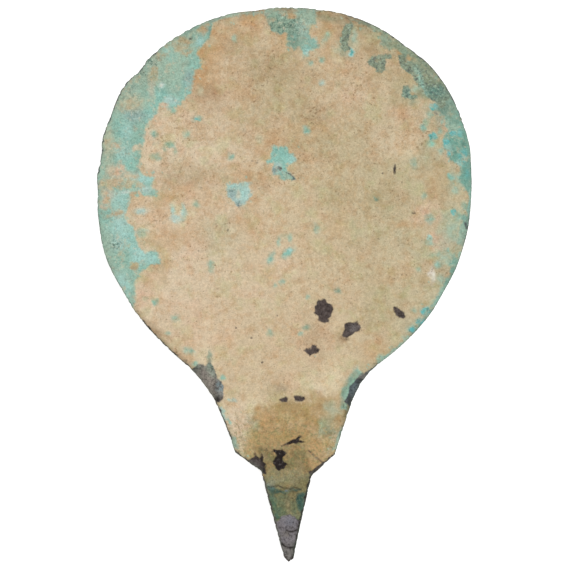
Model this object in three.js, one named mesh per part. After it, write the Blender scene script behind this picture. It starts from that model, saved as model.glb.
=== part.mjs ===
// An Etruscan hand mirror of cast bronze, lying on its plain back with the mirror face up.
// It is one casting: a pear-shaped plate with a bevelled edge, which draws in to a neck, two sloping
// shoulders and a pointed tang. The tang was let into a handle of bone, ivory or wood, which is lost.
// Millimetres, +Z up. The tang points along -Y, and the origin is on the ground under the middle.
import * as THREE from 'three';

// Overall size in plan.
const LENGTH = 222;
const WIDTH = 150;

// Heights of the section.
const RIM_THICKNESS = 3.2;
const DOME_RISE = 1.6;         // how far the mirror face swells above its rim at the middle
const PLATE_THICKNESS = 2.2;   // metal left at the bottom of the hollow back
const TIP_THICKNESS = 1.8;

// Edge of the mirror face, and the raised rim round the hollow back.
const BEVEL_WIDTH = 1.3;
const BEVEL_DROP = 0.5;
const BACK_CHAMFER = 0.4;
const BACK_RIM_WIDTH = 3.2;
const BACK_STEP_WIDTH = 1.3;
const HOLLOW_FADES = { from: -40, to: -60 };   // the hollow runs out to nothing along the neck

// Each side of the outline, seen from above: x counts outwards from the long axis. Handles are the
// lengths of the curves' tangents, and angles are the slope of the edge from the X axis.
const DISC = { crownY: LENGTH / 2, widestY: 41, halfWidth: WIDTH / 2 };
const LEFT = {
  sign: -1,
  crownHandle: 49,
  upperHandle: 34.5,
  lowerHandle: 18,
  flankHandle: 43,
  waist: { x: 40.8, y: -30.6, angle: 40 },
  waistHandle: 15.5,
  neckHandle: 11,
  neck: { x: 21.3, y: -62, angle: 69.5 },
  corner: { x: 19.7, y: -67 },
  root: { x: 9.3, y: -74.7 },
  tangBow: { x: 4.1, y: -95 },
  tangEnd: { x: 0.1, y: -109.2 },
};
const RIGHT = {
  sign: 1,
  crownHandle: 38,
  upperHandle: 48,
  lowerHandle: 34,
  flankHandle: 25,
  waist: { x: 39.3, y: -30.5, angle: 36.3 },
  waistHandle: 13,
  neckHandle: 14,
  neck: { x: 22.8, y: -59.8, angle: 72 },
  corner: { x: 20.3, y: -67.9 },
  root: { x: 11, y: -76.4 },
  tangBow: { x: 6.3, y: -96 },
  tangEnd: { x: 3.7, y: -109.8 },
};
const TIP = { x: 1.8, y: -LENGTH / 2 };
const TIP_CENTRE = { x: 1.9, y: -109 };

// Dents and swellings of the worn edge: where, how far they reach along it, and how far out they push.
const WEAR = [
  { x: -12, y: 110, reach: 10, push: -0.6 },
  { x: -58, y: 86, reach: 5, push: -0.9 },
  { x: -65, y: 79, reach: 9, push: 0.7 },
  { x: -69, y: 67, reach: 4, push: -0.5 },
  { x: -74, y: 51, reach: 8, push: -1.0 },
  { x: -75, y: 37, reach: 6, push: -0.4 },
  { x: -72, y: 13, reach: 12, push: 0.4 },
  { x: -64, y: -3, reach: 9, push: -0.4 },
  { x: 24, y: 109, reach: 16, push: 0.4 },
  { x: 49, y: 96, reach: 13, push: -0.7 },
  { x: 74, y: 56, reach: 9, push: 0.4 },
  { x: 74, y: 23, reach: 9, push: 0.2 },
  { x: 64, y: -3, reach: 10, push: -0.4 },
];

// Curved laps of the hammered metal across the tang, near its tip.
const LAPS = [-97.6, -103.9];
const LAP_DEPTH = 0.35;
const LAP_HALF_WIDTH = 0.6;
const LAP_SAG = 1.1;           // how far a lap's middle lies nearer the tip than its ends

// How finely the outline and the faces are divided.
const CROWN_STEPS = 36;
const FLANK_STEPS = 30;
const NECK_STEPS = 12;
const SHOULDER_STEPS = 4;
const TANG_STEPS = 6;
const TIP_STEPS = 3;
const FACE_RINGS = [0.12, 0.26, 0.42, 0.6, 0.8];
const BACK_RINGS = [0.25, 0.5, 0.75];

const mix = THREE.MathUtils.lerp;
const { smoothstep, degToRad } = THREE.MathUtils;

function worn(point) {
  const outwards = new THREE.Vector2(point.x, point.y - DISC.widestY).normalize();
  let push = 0;
  for (const mark of WEAR) {
    const nearness = 1 - (point.distanceTo(mark) / mark.reach) ** 2;
    push += mark.push * Math.max(0, nearness) ** 2;
  }
  return point.clone().addScaledVector(outwards, push);
}

// Points down one side, from the crown of the disc to the tip of the tang, and the rows with a lap.
function sideOutline(side) {
  const at = ({ x, y }) => new THREE.Vector2(side.sign * x, y);
  const downwards = (angle, length) => {
    const turn = degToRad(angle);
    return new THREE.Vector2(-side.sign * Math.cos(turn), -Math.sin(turn)).multiplyScalar(length);
  };
  const crown = new THREE.Vector2(0, DISC.crownY);
  const widest = at({ x: DISC.halfWidth, y: DISC.widestY });
  const waist = at(side.waist);
  const neck = at(side.neck);
  const [corner, root, tangEnd] = [side.corner, side.root, side.tangEnd].map(at);
  const upper = new THREE.CubicBezierCurve(
    crown,
    new THREE.Vector2(side.sign * side.crownHandle, crown.y),
    new THREE.Vector2(widest.x, widest.y + side.upperHandle),
    widest,
  );
  const flank = new THREE.CubicBezierCurve(
    widest,
    new THREE.Vector2(widest.x, widest.y - side.lowerHandle),
    waist.clone().sub(downwards(side.waist.angle, side.flankHandle)),
    waist,
  );
  const throat = new THREE.CubicBezierCurve(
    waist,
    waist.clone().add(downwards(side.waist.angle, side.waistHandle)),
    neck.clone().sub(downwards(side.neck.angle, side.neckHandle)),
    neck,
  );
  const shoulder = new THREE.LineCurve(corner, root);
  const tip = new THREE.LineCurve(tangEnd, new THREE.Vector2(TIP.x, TIP.y));
  return [
    ...upper.getSpacedPoints(CROWN_STEPS).slice(0, -1),
    ...flank.getSpacedPoints(FLANK_STEPS).slice(0, -1),
    ...throat.getSpacedPoints(NECK_STEPS),
    ...shoulder.getSpacedPoints(SHOULDER_STEPS),
    ...tangEdge(root, at(side.tangBow), tangEnd),
    ...tip.getSpacedPoints(TIP_STEPS),
  ].map(worn);
}

// Points along one edge of the tang: even steps down to the first lap, then three rows at each lap.
function tangEdge(root, bow, end) {
  const curve = new THREE.QuadraticBezierCurve(root, bow, end);
  const samples = curve.getPoints(60);
  const pointAt = (y) => {
    const next = samples.findIndex((sample) => sample.y <= y);
    const [above, below] = [samples[next - 1], samples[next]];
    return above.clone().lerp(below, (above.y - y) / (above.y - below.y));
  };
  const lapRows = LAPS.flatMap((y) => [y + LAP_HALF_WIDTH, y, y - LAP_HALF_WIDTH]);
  const evenRows = [];
  for (let step = 1; step <= TANG_STEPS; step++) {
    evenRows.push(mix(root.y, lapRows[0] + 1, step / TANG_STEPS));
  }
  return [...evenRows, ...lapRows].map(pointAt);
}

// The rows of the plate: the left and right edge points, and the point between them on the spine that
// both halves of the face run to. The rows above the widest point all run to the disc's middle, and the
// last ones all run to a point just inside the tip.
function plateRows() {
  const left = sideOutline(LEFT);
  const right = sideOutline(RIGHT);
  const lastTangRow = left.length - TIP_STEPS - 1;
  const lapRows = LAPS.map((_, lap) => lastTangRow - 3 * (LAPS.length - lap) + 1);
  return left.map((leftPoint, row) => {
    const middle = leftPoint.clone().lerp(right[row], 0.5);
    const onDiscTop = row <= CROWN_STEPS;
    if (onDiscTop) {
      middle.set(0, DISC.widestY);
    } else if (row >= lastTangRow) {
      middle.copy(TIP_CENTRE);
    } else {
      middle.y -= LAP_SAG * smoothstep(-middle.y, -LEFT.root.y, -LAPS[0]);
    }
    const breadth = onDiscTop ? 1 : (right[row].x - leftPoint.x) / WIDTH;
    return { edges: [leftPoint, right[row]], middle, lap: lapRows.includes(row), breadth };
  });
}

// Height of the mirror face: depth runs from 0 at the foot of the bevel to 1 on the spine.
function faceHeight(row, y, depth) {
  const tangRun = THREE.MathUtils.clamp((LEFT.root.y - y) / (LEFT.root.y - TIP.y), 0, 1);
  const rim = mix(RIM_THICKNESS, TIP_THICKNESS, tangRun);
  const dome = DOME_RISE * row.breadth ** 2 * (1 - (1 - depth) ** 2);
  return rim + dome - (row.lap ? LAP_DEPTH : 0);
}

// Height of the back inside its rim: the hollow follows the mirror face, a plate's thickness below it.
function backHeight(row, y, depth) {
  const hollow = smoothstep(y, HOLLOW_FADES.to, HOLLOW_FADES.from);
  return hollow * (faceHeight(row, y, depth) - PLATE_THICKNESS);
}

// One edge point's section, as points from the edge to just short of the spine, for the face and back.
function section(row, edge) {
  const width = edge.distanceTo(row.middle);
  const backStep = BACK_RIM_WIDTH + BACK_STEP_WIDTH;
  const squeeze = Math.min(1, (0.6 * width) / backStep);
  const point = (inset, height) => {
    const { x, y } = edge.clone().lerp(row.middle, inset / width);
    return new THREE.Vector3(x, y, height(y));
  };
  const ringPoints = (start, fractions, height) =>
    fractions.map((depth) => point(mix(start, width, depth), (y) => height(row, y, depth)));
  const bevel = BEVEL_WIDTH * squeeze;
  const chamfer = BACK_CHAMFER * squeeze;
  return {
    face: [
      point(0, (y) => faceHeight({ ...row, lap: false }, y, 0) - BEVEL_DROP),
      ...ringPoints(bevel, [0, ...FACE_RINGS], faceHeight),
    ],
    back: [
      point(0, () => chamfer),
      point(chamfer, () => 0),
      point(BACK_RIM_WIDTH * squeeze, () => 0),
      ...ringPoints(backStep * squeeze, [0, ...BACK_RINGS], backHeight),
    ],
  };
}

// Joins the sections into one closed solid. The loop of sections runs anticlockwise seen from above.
function plateGeometry() {
  const rows = plateRows();
  const lastRow = rows.length - 1;
  const loop = [];
  for (let index = 0; index <= lastRow; index++) {
    loop.push({ row: index, ...section(rows[index], rows[index].edges[0]) });
  }
  for (let index = lastRow - 1; index > 0; index--) {
    loop.push({ row: index, ...section(rows[index], rows[index].edges[1]) });
  }

  const positions = [];
  const triangles = [];
  const addVertex = ({ x, y, z }) => positions.push(x, y, z) / 3 - 1;
  const numbered = (surface) => loop.map((entry) => entry[surface].map(addVertex));
  const spine = (height) => {
    let latest = null;
    return rows.map((row, index) => {
      const { x, y } = row.middle;
      if (index === 0 || !row.middle.equals(rows[index - 1].middle)) {
        latest = addVertex({ x, y, z: height(row, y, 1) });
      }
      return latest;
    });
  };
  const quad = (a, b, c, d) => {
    triangles.push(a, b, c);
    if (c !== d) {
      triangles.push(a, c, d);
    }
  };
  // One surface: bands between neighbouring sections, the innermost of which closes on the spine.
  const surface = (sections, middle, upwards) => {
    sections.forEach((points, index) => {
      const nextIndex = (index + 1) % sections.length;
      const here = [...points, middle[loop[index].row]];
      const next = [...sections[nextIndex], middle[loop[nextIndex].row]];
      for (let ring = 0; ring + 1 < here.length; ring++) {
        if (upwards) {
          quad(here[ring], next[ring], next[ring + 1], here[ring + 1]);
        } else {
          quad(next[ring], here[ring], here[ring + 1], next[ring + 1]);
        }
      }
    });
  };

  const face = numbered('face');
  const back = numbered('back');
  surface(face, spine(faceHeight), true);
  surface(back, spine(backHeight), false);
  face.forEach((here, index) => {
    const next = (index + 1) % face.length;
    quad(back[index][0], back[next][0], face[next][0], here[0]);
  });

  const geometry = new THREE.BufferGeometry();
  geometry.setAttribute('position', new THREE.Float32BufferAttribute(positions, 3));
  geometry.setIndex(triangles);
  geometry.computeVertexNormals();
  return geometry;
}

function patinatedBronze() {
  return new THREE.MeshStandardMaterial({ color: 0xb9a07c, roughness: 0.85, metalness: 0.1 });
}

const mirror = new THREE.Mesh(plateGeometry(), patinatedBronze());
mirror.name = 'mirror';

const part = new THREE.Group();
part.name = 'etruscan_hand_mirror';
part.add(mirror);

export default part;
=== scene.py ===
"""An Etruscan hand mirror of cast bronze, lying face up, with its crusts of soil and verdigris.

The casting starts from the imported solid. It is divided finely, its worn edge, crusts, pits and bare
spots are shaped in the mesh, and the same marks then colour it. Places on the mirror face are in
millimetres: x to the right and y towards the crown of the disc, with the tang pointing down.
"""

import math

import bpy
import numpy as np
from bpy.props import FloatProperty, FloatVectorProperty, PointerProperty
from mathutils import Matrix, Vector, noise
from mathutils.bvhtree import BVHTree


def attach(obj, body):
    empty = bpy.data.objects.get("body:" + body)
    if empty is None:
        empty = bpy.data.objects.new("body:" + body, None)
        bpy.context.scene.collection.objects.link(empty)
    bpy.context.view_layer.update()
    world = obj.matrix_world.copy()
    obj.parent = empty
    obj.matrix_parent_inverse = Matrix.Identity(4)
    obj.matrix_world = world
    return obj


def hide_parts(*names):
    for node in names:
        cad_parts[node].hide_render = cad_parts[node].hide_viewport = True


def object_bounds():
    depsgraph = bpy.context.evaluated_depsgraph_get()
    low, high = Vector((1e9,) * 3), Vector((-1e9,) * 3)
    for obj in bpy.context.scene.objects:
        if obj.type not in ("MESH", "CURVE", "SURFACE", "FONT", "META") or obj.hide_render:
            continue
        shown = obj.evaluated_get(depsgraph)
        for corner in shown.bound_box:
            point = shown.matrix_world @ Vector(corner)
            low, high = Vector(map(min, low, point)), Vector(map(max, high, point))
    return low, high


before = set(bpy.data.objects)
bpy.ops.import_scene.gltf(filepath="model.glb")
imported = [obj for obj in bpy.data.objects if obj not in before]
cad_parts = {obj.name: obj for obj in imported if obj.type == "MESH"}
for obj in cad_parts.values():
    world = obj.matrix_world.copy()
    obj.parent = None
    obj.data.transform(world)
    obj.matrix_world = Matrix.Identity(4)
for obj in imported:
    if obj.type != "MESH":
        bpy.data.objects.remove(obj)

bl_info = {
    "name": "Etruscan Hand Mirror",
    "version": (1, 0, 0),
    "blender": (4, 5, 0),
    "location": "3D View > Sidebar > Mirror",
    "description": "Models an ancient bronze hand mirror, with its worn edge and patina, from its solid",
    "category": "Object",
}

CAD_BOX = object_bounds()
MM = 0.001
TANG_FINE = -72 * MM          # below this the face is divided once more, for the laps of the tang
PIECE = "mirror_casting"
FINISH = "patinated_bronze"


# ---------------------------------------------------------------- sizes and colours a user may change

def length(label, text, default):
    return FloatProperty(name=label, description=text, default=default * MM, min=0.0, precision=5,
                         subtype="DISTANCE", unit="LENGTH")


def linear(code):
    """The scene's own red, green and blue for a colour written as on a paint card."""
    shares = [int(code[i:i + 2], 16) / 255 for i in (1, 3, 5)]
    return tuple(s / 12.92 if s <= 0.04045 else ((s + 0.055) / 1.055) ** 2.4 for s in shares)


def tint(label, text, code):
    return FloatVectorProperty(name=label, description=text, default=linear(code), size=3, min=0.0,
                               max=1.0, subtype="COLOR")


class MirrorSizes(bpy.types.PropertyGroup):
    cell: length("Mesh Cell", "Edge of one face of the back; the mirror face is twice as fine", 1.12)
    swell: length("Unevenness", "How far the hammered face swells and sinks over a few centimetres", 0.12)
    crust_rise: length("Crust Rise", "How far verdigris stands proud of the soil crust", 0.10)
    crust_grit: length("Crust Grit", "Height of the grit on the verdigris", 0.07)
    pitted_sink: length("Pitted Sink", "How far the eaten dark-green places lie below the face", 0.16)
    pitted_grit: length("Pitted Grit", "Height of the grit in the eaten places", 0.13)
    bare_sink: length("Bare Sink", "How far bare metal lies below the crust that broke off it", 0.24)
    pit_depth: length("Pit Depth", "Depth of the scattered pits", 0.14)
    nibble: length("Edge Nibble", "How far corrosion has eaten into the edge, at the most", 0.34)
    lap_drop: length("Lap Drop", "Height of a lap of hammered metal on the tang", 0.28)


class MirrorColours(bpy.types.PropertyGroup):
    soil: tint("Soil", "Soil crust in the middle of the face", "#C8B696")
    soil_light: tint("Light Soil", "Soil crust at the left, lighter and a little pink", "#D4C2A8")
    soil_top: tint("Upper Soil", "Soil crust near the crown", "#C6B294")
    soil_right: tint("Right Soil", "Soil crust at the right", "#BBAF8F")
    soil_low: tint("Lower Soil", "Soil crust towards the neck", "#CAB697")
    soil_pink: tint("Pink Soil", "Pinkish clouds in the soil crust", "#D3B59B")
    soil_green: tint("Green Soil", "Soil crust with a breath of verdigris in it", "#BCB496")
    olive: tint("Olive Soil", "Olive-grey clouds in the soil crust", "#AFA380")
    rust: tint("Orange Soil", "Orange-brown clouds in the soil crust", "#BC9A70")
    brown: tint("Brown Soil", "Brown stains in the soil crust", "#A1896A")
    cream: tint("Cream Soil", "Palest soil crust", "#D6C8A8")
    ochre: tint("Ochre", "Ochre stain over the neck", "#AC9267")
    ochre_olive: tint("Olive Ochre", "Darker, greener stain down to the tang", "#7A6E4C")
    sage: tint("Sage", "Greyish verdigris near the edge", "#A1B5A0")
    ash: tint("Ash Green", "Grey-green verdigris with pits", "#929F90")
    turquoise: tint("Turquoise", "Verdigris in its common shade", "#90B5A4")
    aqua: tint("Aqua", "Bluer verdigris along the inner edge of the patches", "#8ABAAD")
    pale_aqua: tint("Pale Aqua", "Lightest verdigris", "#B0C9C0")
    chalk: tint("Chalk", "Whitish specks of lime", "#DAD9CE")
    moss_grain: tint("Moss Grain", "Dull green specks in the ochre stain", "#7F8158")
    gold_grain: tint("Gold Grain", "Orange specks in the ochre stain", "#B18F5F")
    cyan: tint("Pale Cyan", "Light blue-green where the verdigris is freshest", "#A3CBC3")
    band_teal: tint("Band Teal", "Deeper blue-green verdigris along the right edge", "#6F9F90")
    bright: tint("Bright Blue-Green", "Small vivid dots of verdigris", "#5DB4B5")
    blue_grey: tint("Blue-Grey", "Blue-grey streaks in the pale patches", "#95A8A5")
    moss: tint("Moss Green", "Duller green at the crown", "#879D88")
    dark_green: tint("Dark Green", "Eaten places at the upper right", "#7F8A74")
    deep_teal: tint("Deep Teal", "Darkest green of the eaten edge", "#5F8074")
    dark_teal: tint("Dark Teal", "Small dark pits in the verdigris", "#4E6E63")
    grey_teal: tint("Grey Teal", "Grey-green of the eaten edge", "#7E9382")
    umber: tint("Umber", "Bare bronze, tarnished brown-violet", "#4B413D")
    black: tint("Black", "Bare bronze, tarnished black", "#1F1816")
    violet: tint("Violet-Grey", "Bare bronze with a grey-violet bloom", "#6A6462")
    blue_steel: tint("Blue Steel", "Blue-grey bloom on bare bronze", "#6E7F82")
    slate: tint("Slate", "Bare bronze with a bluish tarnish", "#4A5255")
    lead: tint("Warm Grey", "Bare bronze with a light warm grey bloom", "#827B72")
    tang_olive: tint("Tang Olive", "Dull olive crust on the tang", "#797250")
    tang_teal: tint("Tang Teal", "Deep teal corrosion on the tang", "#36564F")
    tang_green: tint("Tang Green", "Grey-green corrosion along the tang's left edge", "#536B57")
    tang_grey: tint("Tang Grey", "Clean grey-violet metal of the tang", "#757073")
    tang_blue: tint("Tang Blue-Grey", "Bluish bloom where the tang's clean metal begins", "#717077")
    tang_tip: tint("Tip", "Greenish grey metal of the tip", "#6C6964")
    lichen: tint("Lichen", "Olive-sage crust along the upper right edge", "#868F74")
    rim_dark: tint("Edge", "Dark grey-green of the edge", "#5B6357")
    pink_filter: tint("Pink Film", "What a pinkish film leaves of the colour under it", "#FFF6F4")
    green_filter: tint("Green Film", "What a greenish film leaves of the colour under it", "#F4FFF2")
    olive_filter: tint("Olive Film", "What a dull film leaves of the colour under it", "#EDE9D9")
    rust_filter: tint("Rust Stain", "What a rusty stain leaves of the colour under it", "#EBD5C0")
    brown_filter: tint("Brown Speck", "What a brown speck leaves of the colour under it", "#B3A696")


class MirrorStudio(bpy.types.PropertyGroup):
    floor: tint("Floor", "Colour of the floor", "#FFFFFF")
    glow: FloatProperty(name="Floor Glow", description="How much light of its own the pale floor gives",
                        default=0.45, min=0.0)
    ambient: FloatProperty(name="Ambient Light", description="Strength of the even white surroundings",
                           default=0.86, min=0.0)
    key: FloatProperty(name="Key Light", description="Strength of the soft light from the upper right",
                       default=0.80, min=0.0)
    lens: FloatProperty(name="Lens", description="Focal length of the camera, in millimetres",
                        default=100.0, min=20.0)
    view_width: length("View Width", "Width of the camera's view at the mirror", 228.0)


# ---------------------------------------------------------------- marks on the mirror face

def eased(value, low, high):
    """0 below low, 1 above high, and a smooth rise between them."""
    share = np.clip((value - low) / (high - low), 0.0, 1.0)
    return share * share * (3 - 2 * share)


class Patch:
    """A patch with corners given one by one. Layers are crust, pitted and bare, from the top down, and
    soil.
    """

    def __init__(self, layer, colour, *corners):
        self.layer, self.colour, self.corners = layer, colour, np.array(corners, float)

    def depth(self, places, rim):
        """How far inside the patch each place lies; outside, it is negative."""
        nearest = np.full(len(places), np.inf)
        inside = np.zeros(len(places), bool)
        x, y = places.T
        for (ax, ay), (bx, by) in zip(self.corners, np.roll(self.corners, -1, axis=0)):
            run_x, run_y = bx - ax, by - ay
            share = np.clip(((x - ax) * run_x + (y - ay) * run_y) / (run_x ** 2 + run_y ** 2), 0, 1)
            nearest = np.minimum(nearest, np.hypot(x - ax - share * run_x, y - ay - share * run_y))
            if run_y:
                crosses = (ay > y) != (by > y)
                inside ^= crosses & (x < ax + (y - ay) / run_y * run_x)
        return np.where(inside, nearest, -nearest)


class Dot:
    """A round or oval mark: its middle, its width and its height, and how far it is turned."""

    def __init__(self, layer, colour, x, y, across, along=None, turn=0):
        self.layer, self.colour, self.middle = layer, colour, (x, y)
        self.half = (across / 2, (along or across) / 2)
        self.turn = math.radians(turn)

    def depth(self, places, rim):
        dx, dy = (places - self.middle).T
        u = dx * math.cos(self.turn) + dy * math.sin(self.turn)
        v = dy * math.cos(self.turn) - dx * math.sin(self.turn)
        return (1 - np.hypot(u / self.half[0], v / self.half[1])) * min(self.half)


class Line(Patch):
    """A crack, scratch or seam: its width and the points that it runs through."""

    def __init__(self, layer, colour, width, *points):
        super().__init__(layer, colour, *points)
        self.width = width

    def depth(self, places, rim):
        nearest = np.full(len(places), np.inf)
        for a, b in zip(self.corners, self.corners[1:]):
            run = b - a
            share = np.clip((places - a) @ run / (run @ run), 0, 1)
            nearest = np.minimum(nearest, np.hypot(*(places - a - share[:, None] * run).T))
        return self.width / 2 - nearest


class RimStrip:
    """A strip along the edge of one side (-1 left, 1 right), between two heights on the face."""

    def __init__(self, layer, colour, side, low, high, width):
        self.layer, self.colour, self.side = layer, colour, side
        self.low, self.high, self.width = low, high, width

    def depth(self, places, rim):
        x, y = places.T
        return np.minimum.reduce([self.width - rim, y - self.low, self.high - y, self.side * x])


class Soft:
    """A mark that only tints its layer: how soft its edge is, in millimetres, and how strong it is."""

    def __init__(self, mark, softness, strength):
        self.mark, self.softness, self.strength = mark, softness, strength
        self.layer, self.colour = mark.layer, mark.colour

    def weight(self, places, rim):
        return self.strength * eased(self.mark.depth(places, rim), -self.softness, self.softness)


def cloud(layer, colour, x, y, across, along, strength, turn=0):
    """A round or oval stain that fades out from its middle."""
    return Soft(Dot(layer, colour, x, y, across, along, turn), 0.42 * min(across, along), strength)


VIVID = ("bright", "cyan")


def soft_dot(colour, x, y, across, along=None, turn=0):
    """A small bloom of verdigris in the soil crust; the bright ones are stronger and sharper."""
    softness, strength = (0.24, 1.6) if colour in VIVID else (0.42, 1.0)
    return Soft(Dot("soil", colour, x, y, across + 0.3, (along or across) + 0.3, turn),
                softness * min(across, along or across), strength)


def wash(colour, softness, strength, *corners):
    """A stain of the soil crust with its corners listed."""
    return Soft(Patch("soil", colour, *corners), softness, strength)


def several(kind, layer, *marks):
    """Marks of one kind on one layer, in the order given, which is the order that they are laid in."""
    return [kind(layer, *mark) for mark in marks]


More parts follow.
